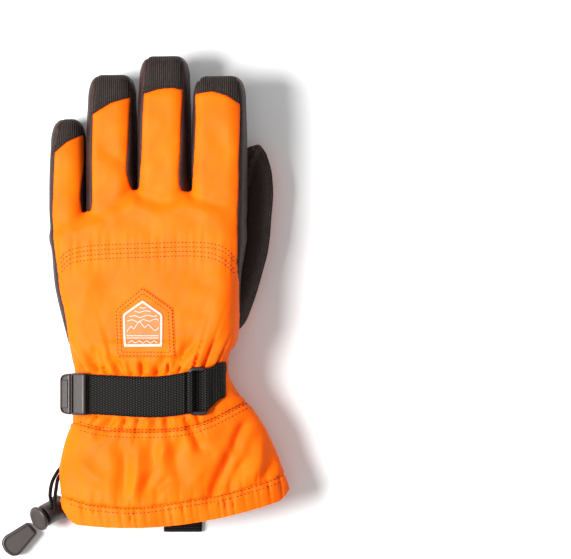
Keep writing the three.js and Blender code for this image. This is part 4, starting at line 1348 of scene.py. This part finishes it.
# ---- the badge ----
BADGE_OUTER = [(-32.8, -39.6), (5.2, -39.6), (3.6, -8.2), (-16.3, 5.6), (-34.3, -9)]
BADGE_PATCH = [(-27.8, -32.6), (-3.2, -32.6), (-3.2, -12), (-15.8, -3.2), (-28.6, -12)]
BADGE_LINES = [  # a plain range of mountains with waves of cloud over it
    [(-27.6, -25.6), (-5.6, -25.6)],
    [(-27.6, -27.1), (-5.6, -27.1)],
    [(-27.4, -23.6), (-24.5, -19.5), (-22.6, -21.4), (-19, -16.2), (-15.6, -20.6), (-13.4, -18.4),
     (-9, -22.6), (-5.8, -19.6)],
    [(-27.2, -16.4), (-23.5, -15.4), (-20, -17.2), (-16.5, -15.2), (-12.6, -16.6), (-9, -14.8), (-5.8, -16)],
    [(-26, -13.6), (-22, -12.8), (-18.4, -14.2), (-14, -12.4), (-10, -13.4), (-7, -12.6)],
    [(-22.6, -9.8), (-19, -10.8), (-15, -9.6), (-11.4, -10.4)],
    [(-19.4, -7.4), (-16.8, -8.2), (-14.2, -7.4)],
    [(-26.4 + 2.4 * i, -28.8 if i % 2 else -30.4) for i in range(9)],
]


def inside(outline):
    shape = np.array(outline, float)
    return lambda values: -outline_distance(values[:, 9], values[:, 10], shape)


def raised_tree(part, lift):
    values, faces = part
    return search_tree(values[:, PLACE] + values[:, OUT] * lift, faces)


def build_badge(whole):
    cloth_lift, patch_lift, border_lift = 0.75, 1.25, 1.65
    around = [(-45, -50), (15, -50), (15, 15), (-45, 15)]
    top = pick(whole, lambda values: values[:, 11] - 30, inside(around))
    backing, patch = pick(top, inside(BADGE_OUTER)), pick(top, inside(BADGE_PATCH))
    border = pick(patch, negative(inside(closed(BADGE_PATCH, 1.35)[:-1])))
    panel("badge_backing_cloth", backing, SHELL, "shell", ["badge_backing"], lift=cloth_lift, sink=0.45,
          depth=0.9)
    panel("badge_ground", patch, BADGE_CLOTH, "badge", ["badge_patch"], lift=patch_lift, sink=0.1, depth=0.9)
    panel("badge_border", border, WHITE_THREAD, "badge", [], lift=border_lift, sink=0.12, depth=0.6)
    tree = raised_tree(patch, patch_lift)
    points, faces = np.zeros((0, 3)), np.zeros((0, 4), int)
    for line in BADGE_LINES:
        found = [look_up(tree, x, y) for x, y in spaced(line, 0.8) + (1, 0)]
        path = [hit + up * 0.12 for hit, up in (f for f in found if f is not None)]
        more_points, more_faces = tube(path, 0.42, 6, flat=0.7)
        faces = np.vstack([faces, more_faces + len(points)])
        points = np.vstack([points, more_points])
    attach(place_object("badge_picture", points, faces, WHITE_THREAD), (), "hand")
    rows = [closed(BADGE_OUTER, 1.1), closed(BADGE_OUTER, 3.5)]
    tree = raised_tree(backing, cloth_lift)
    stitches("badge_stitching", tree, rows, SEAM_THREAD, "shell", "hand", pitch=2.2)


# ---- the strap, which follows the cuff ----
def ground(xs, ys, tree):
    """Height the strap rests on: the cuff, or the cloth where it stands higher."""
    cloth = [look_up(tree, x, y) for x, y in zip(xs, ys)]
    high = np.array([base if found is None else max(base, found[0][2] + 0.1)
                     for base, found in zip(cuff_top(xs, ys), cloth)])
    for _ in range(3):
        high[1:-1] = np.maximum(high[1:-1], high[1:-1] / 2 + (high[2:] + high[:-2]) / 4)
    return high


def strap_strip(face, width, tree, thickness=1.3, pitch=1.1):
    """A band over the cuff; face gives x along the cuff and how far the band's upper side stands off it."""
    x0, x1 = face[0][0], face[-1][0]
    xs = np.linspace(x0, x1, max(3, int((x1 - x0) / pitch)))
    top, across = along(face, xs), np.linspace(0, 1, 11)
    upper, lower = along(smooth_line(STRAP_TOP), xs), along(smooth_line(STRAP_BOTTOM), xs)
    rows = []
    for v, level in [(v, 1) for v in across] + [(v, 0) for v in across[::-1]]:
        round_off = 0.38 * thickness * (abs(2 * v - 1) > 0.97)
        lift = top - round_off if level else top - thickness + round_off
        y = upper + (lower - upper) * ((1 - width) / 2 + v * width)
        rows.append(np.column_stack([xs, y, ground(xs, y, tree) + lift]))
    points, faces = sweep(list(np.stack(rows, 1)))
    rest = np.zeros_like(points)
    widths, levels = np.tile(across, 2) * STRAP_WIDTH, np.repeat([0, 3.0], len(across))
    count = len(xs) * len(rows)
    rest[:count, 0] = np.repeat(xs, len(rows))
    rest[:count, 1:] = np.tile(np.column_stack([widths, levels]), (len(xs), 1))
    return (points, faces[:, ::-1]), rest


STRAP_FACES = {  # (x, height of the upper side over the cuff), width as a share, and the node replaced
    "strap_base_band": ([(-59, 0.9), (-57, 0.9), (-52, 1.7), (14, 1.7), (22.5, 1.2)], 1.0, ["strap_base"]),
    "strap_fold_left": ([(12.3, 3.4), (12.9, 5.4), (13.6, 6.3), (15.4, 6.2), (16.6, 4.6), (17.4, 1.6)],
                        0.99, []),
    "strap_anchor_band": ([(21, 1.6), (21.8, 4.4), (23.2, 6.2), (25, 6.3), (26.2, 5.4), (28.5, 3.6),
                           (32, 3.2), (35, 2.2), (36.2, 0.8), (37.4, -2.4)], 0.995, ["strap_anchor"]),
    "strap_tail_band": ([(-53.2, 3.4), (-50, 3.4), (-46, 3.2), (8, 3.3), (10.6, 3.45)], 1.0, ["strap_tail"]),
}


def build_strap(tree):
    for name, (face, width, replaced) in STRAP_FACES.items():
        made, rest = strap_strip(face, width, tree)
        band(name, made, replaced, "cuff", rest)
    inset = 1.3
    left, right = RING["left"] + inset, RING["right"] - inset
    bottom, top = RING["bottom"] + inset, RING["top"] - inset
    outline = round_corners([(left, bottom), (right, bottom), (right, top), (left, top)], 3.2, 6)
    path = spaced(np.vstack([outline, outline[:1]]), 1.0)
    heights = cuff_top(path[:, 0], np.clip(path[:, 1], -75, -47)) + RING_LIFT
    frame_tube = tube(np.column_stack([path, heights]), RING_BAR, 12, ring=True, flat=0.95)
    solid("strap_ring_frame", frame_tube, DARK_PLASTIC, "plastic", ["strap_ring"], sharp=None)


def build_clip():
    half = CLIP["half"]

    def place(points):
        return turn_y(points, CLIP["slope"]) + np.array(CLIP["at"])
    block = [(-11.5, -half), (-0.3, -half), (-0.3, half), (-11.5, half)]
    tab = [(-20, -half + 3.2), (-18, -half + 1), (-11.8, -half + 0.1), (-11.8, half - 0.1), (-18, half - 1),
           (-20, half - 3.2)]
    pad = [(-18.2, -9), (-13.6, -9), (-13.6, 9), (-18.2, 9)]
    solid("clip_block", rounded_slab(block, -3, 3, 1.5), PLASTIC, "plastic", ["clip_body"], place=place)
    solid("clip_pull_tab", rounded_slab(tab, -2.4, 2.6, 1.3), PLASTIC, "plastic", ["clip_tab"], place=place)
    solid("clip_tab_pad", rounded_slab(pad, 2.2, 2.95, 0.5, 3), PLASTIC, "plastic", body=BODY_OF["clip_tab"],
          place=place)


# ---- the pull loop and the label under the cuff ----
def ribbon(xs, y, top, bottom):
    """One loop of points round a flat band's section."""
    y = np.broadcast_to(y, xs.shape)
    return np.vstack([np.column_stack([xs, y, top]), np.column_stack([xs, y, bottom])[::-1]])


def band_below(xs, ys, top, bottom):
    """A flat band that lies against the underside of the cuff; top and bottom are heights over it."""
    lows = [cuff_top(xs, np.full_like(xs, y), -1) for y in ys]
    return sweep([ribbon(xs, y, low + top, low + bottom) for y, low in zip(ys, lows)])


def sideways(path, half, ring=False):
    """The steps to the left of a path in its plane, of a length of half."""
    steps = np.roll(path, -1, 0) - np.roll(path, 1, 0)
    if not ring:
        steps[0], steps[-1] = path[1] - path[0], path[-1] - path[-2]
    return np.column_stack([-steps[:, 1], steps[:, 0]]) / np.linalg.norm(steps, axis=1, keepdims=True) * half


def build_pull():
    xs = np.linspace(PULL["left"], PULL["right"], 15)
    points, faces = band_below(xs, np.arange(PULL["seam"], PULL["hem"], -1.5), -0.35, -1.6)
    band("pull_webbing", (points, faces), ["pull_strap"], rest=points[:, [1, 0, 2]])
    path, bend, level = [], PULL_LOOP["bend"], PULL_LOOP["level"]
    for y, start in ((PULL_LOOP["far"], 90), (PULL_LOOP["near"], -90)):
        for angle in np.radians(start + 15 * np.arange(13)):
            path.append((y + bend * math.cos(angle), level + bend * math.sin(angle)))
    path = spaced(np.vstack([path, path[:1]]), 1.1)
    middle = (PULL["left"] + PULL["right"]) / 2
    thin = 1 - 0.25 * (np.abs(xs - middle) > 12)  # the edges are a little thinner
    loops = []
    for (y, z), (dy, dz) in zip(path, -sideways(path, WEB_HALF, ring=True)):
        loops.append(np.vstack([np.column_stack([xs, y + dy * thin, z + dz * thin]),
                                np.column_stack([xs, y - dy * thin, z - dz * thin])[::-1]]))
    points, faces = sweep(loops, ring=True)
    band("pull_loop_webbing", (points, faces), ["pull_loop"], rest=points[:, [1, 0, 2]])
    xs, ys = np.linspace(LABEL["left"], LABEL["right"], 8), np.arange(LABEL["seam"], LABEL["hem"], -2)
    points, faces = band_below(xs, ys, -0.3, -0.9)
    band("care_label", (points, faces), ["pull_label"], rest=points * 2.2)


# ---- the cord lock and the grip ----
BARREL = [  # x along the axis and radius, as in BUTTON below
    (-10.5, 0), (-10.5, 6.6), (-10.1, 7.3), (-9.4, 7.9), (-8.5, 8.1), (-7.2, 8.1), (-6.6, 7.7),
    (-6.2, 7.1), (-3, 7), (1, 7), (4.6, 7), (5.3, 6.8), (5.7, 6.2), (5.7, 4.7), (5, 4.65), (-9, 4.65),
    (-9.2, 4.4), (-9.2, 0),
]
BUTTON = [
    (-4, 0), (-4, 4.2), (2, 4.3), (8.4, 4.3), (8.5, 4.6), (8.5, 7.3), (8.7, 7.8), (9.2, 8.1), (10.1, 8.1),
    (10.7, 7.7), (10.95, 7), (11, 5.8), (10.75, 5.2), (10.7, 0),
]


def build_lock():
    def place(points):
        return turn_z(turn_y(points, -LOCK["rise"]), LOCK["turn"]) + np.array(LOCK["at"])
    look = {"place": place, "sharp": 40}
    solid("lock_barrel", turned_solid(BARREL), PLASTIC, "plastic", ["cord_lock_barrel"], **look)
    solid("lock_button", turned_solid(BUTTON), PLASTIC, "plastic", ["cord_lock_plunger"], **look)
    turns, coils = np.linspace(0, 1, 80), 4
    angles = 2 * math.pi * coils * turns
    helix = np.column_stack([-8.9 + 4.5 * turns, 3.1 * np.cos(angles), 3.1 * np.sin(angles)])
    spring = solid("lock_spring", tube(helix, 0.4, 6), steel(), "steel", ["cord_lock_spring"], place=place,
                   sharp=None)
    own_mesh(spring)
    tape = [(-67, 6.1), (-65.9, 6.2), (-64.9, 6.8), (-64.2, 8.4), (-63.4, 10.9), (-62.5, 13.9)]
    path = smooth_line(tape, 3)
    loops = []
    top, bottom = LOCK_TAPE["top"], LOCK_TAPE["bottom"]
    for (x, z), (dx, dz) in zip(path, sideways(path, WEB_HALF)):
        loops.append([(x + dx, top, z + dz), (x - dx, top, z - dz),
                      (x - dx, bottom, z - dz), (x + dx, bottom, z + dz)])
    points, faces = sweep(loops)
    band("lock_tape_strip", (points, faces[:, ::-1]), ["lock_tape"])


def build_grip():
    def place(points):
        return turn_z(points, GRIP["turn"]) + np.array(GRIP["at"])
    outline = [(0, -4.8), (18, -7.8), (22, -5.6), (23.6, 0), (22, 5.6), (18, 7.8), (0, 4.8)]
    halves = {  # the strand each half holds, with the half's name, its lower side and the node it replaces
        "drawcord_outer": ("grip_lower", 0, "cord_grip_bottom"),
        "drawcord_inner": ("grip_upper", 4.55, "cord_grip_top"),
    }
    made = {}
    for cord, (name, low, replaced) in halves.items():
        slab = rounded_slab(outline, low, low + GRIP_THICKNESS, 1.5)
        made[cord] = solid(name, slab, PLASTIC, "plastic", [replaced], place=place)
    return made


WHOLE = skin(glove_distance, (-86, -168, -34), (86, 157, 47), (1.25, 1.75, 1.3), glove_relief, HAND_PLAN)
TREE = search_tree(WHOLE[0][:, PLACE], WHOLE[1])
build_panels(WHOLE)
build_thumb()
build_lining()
build_stitching(TREE)
build_badge(WHOLE)
build_strap(TREE)
build_clip()
build_pull()
build_lock()
GRIP_HALVES = build_grip()
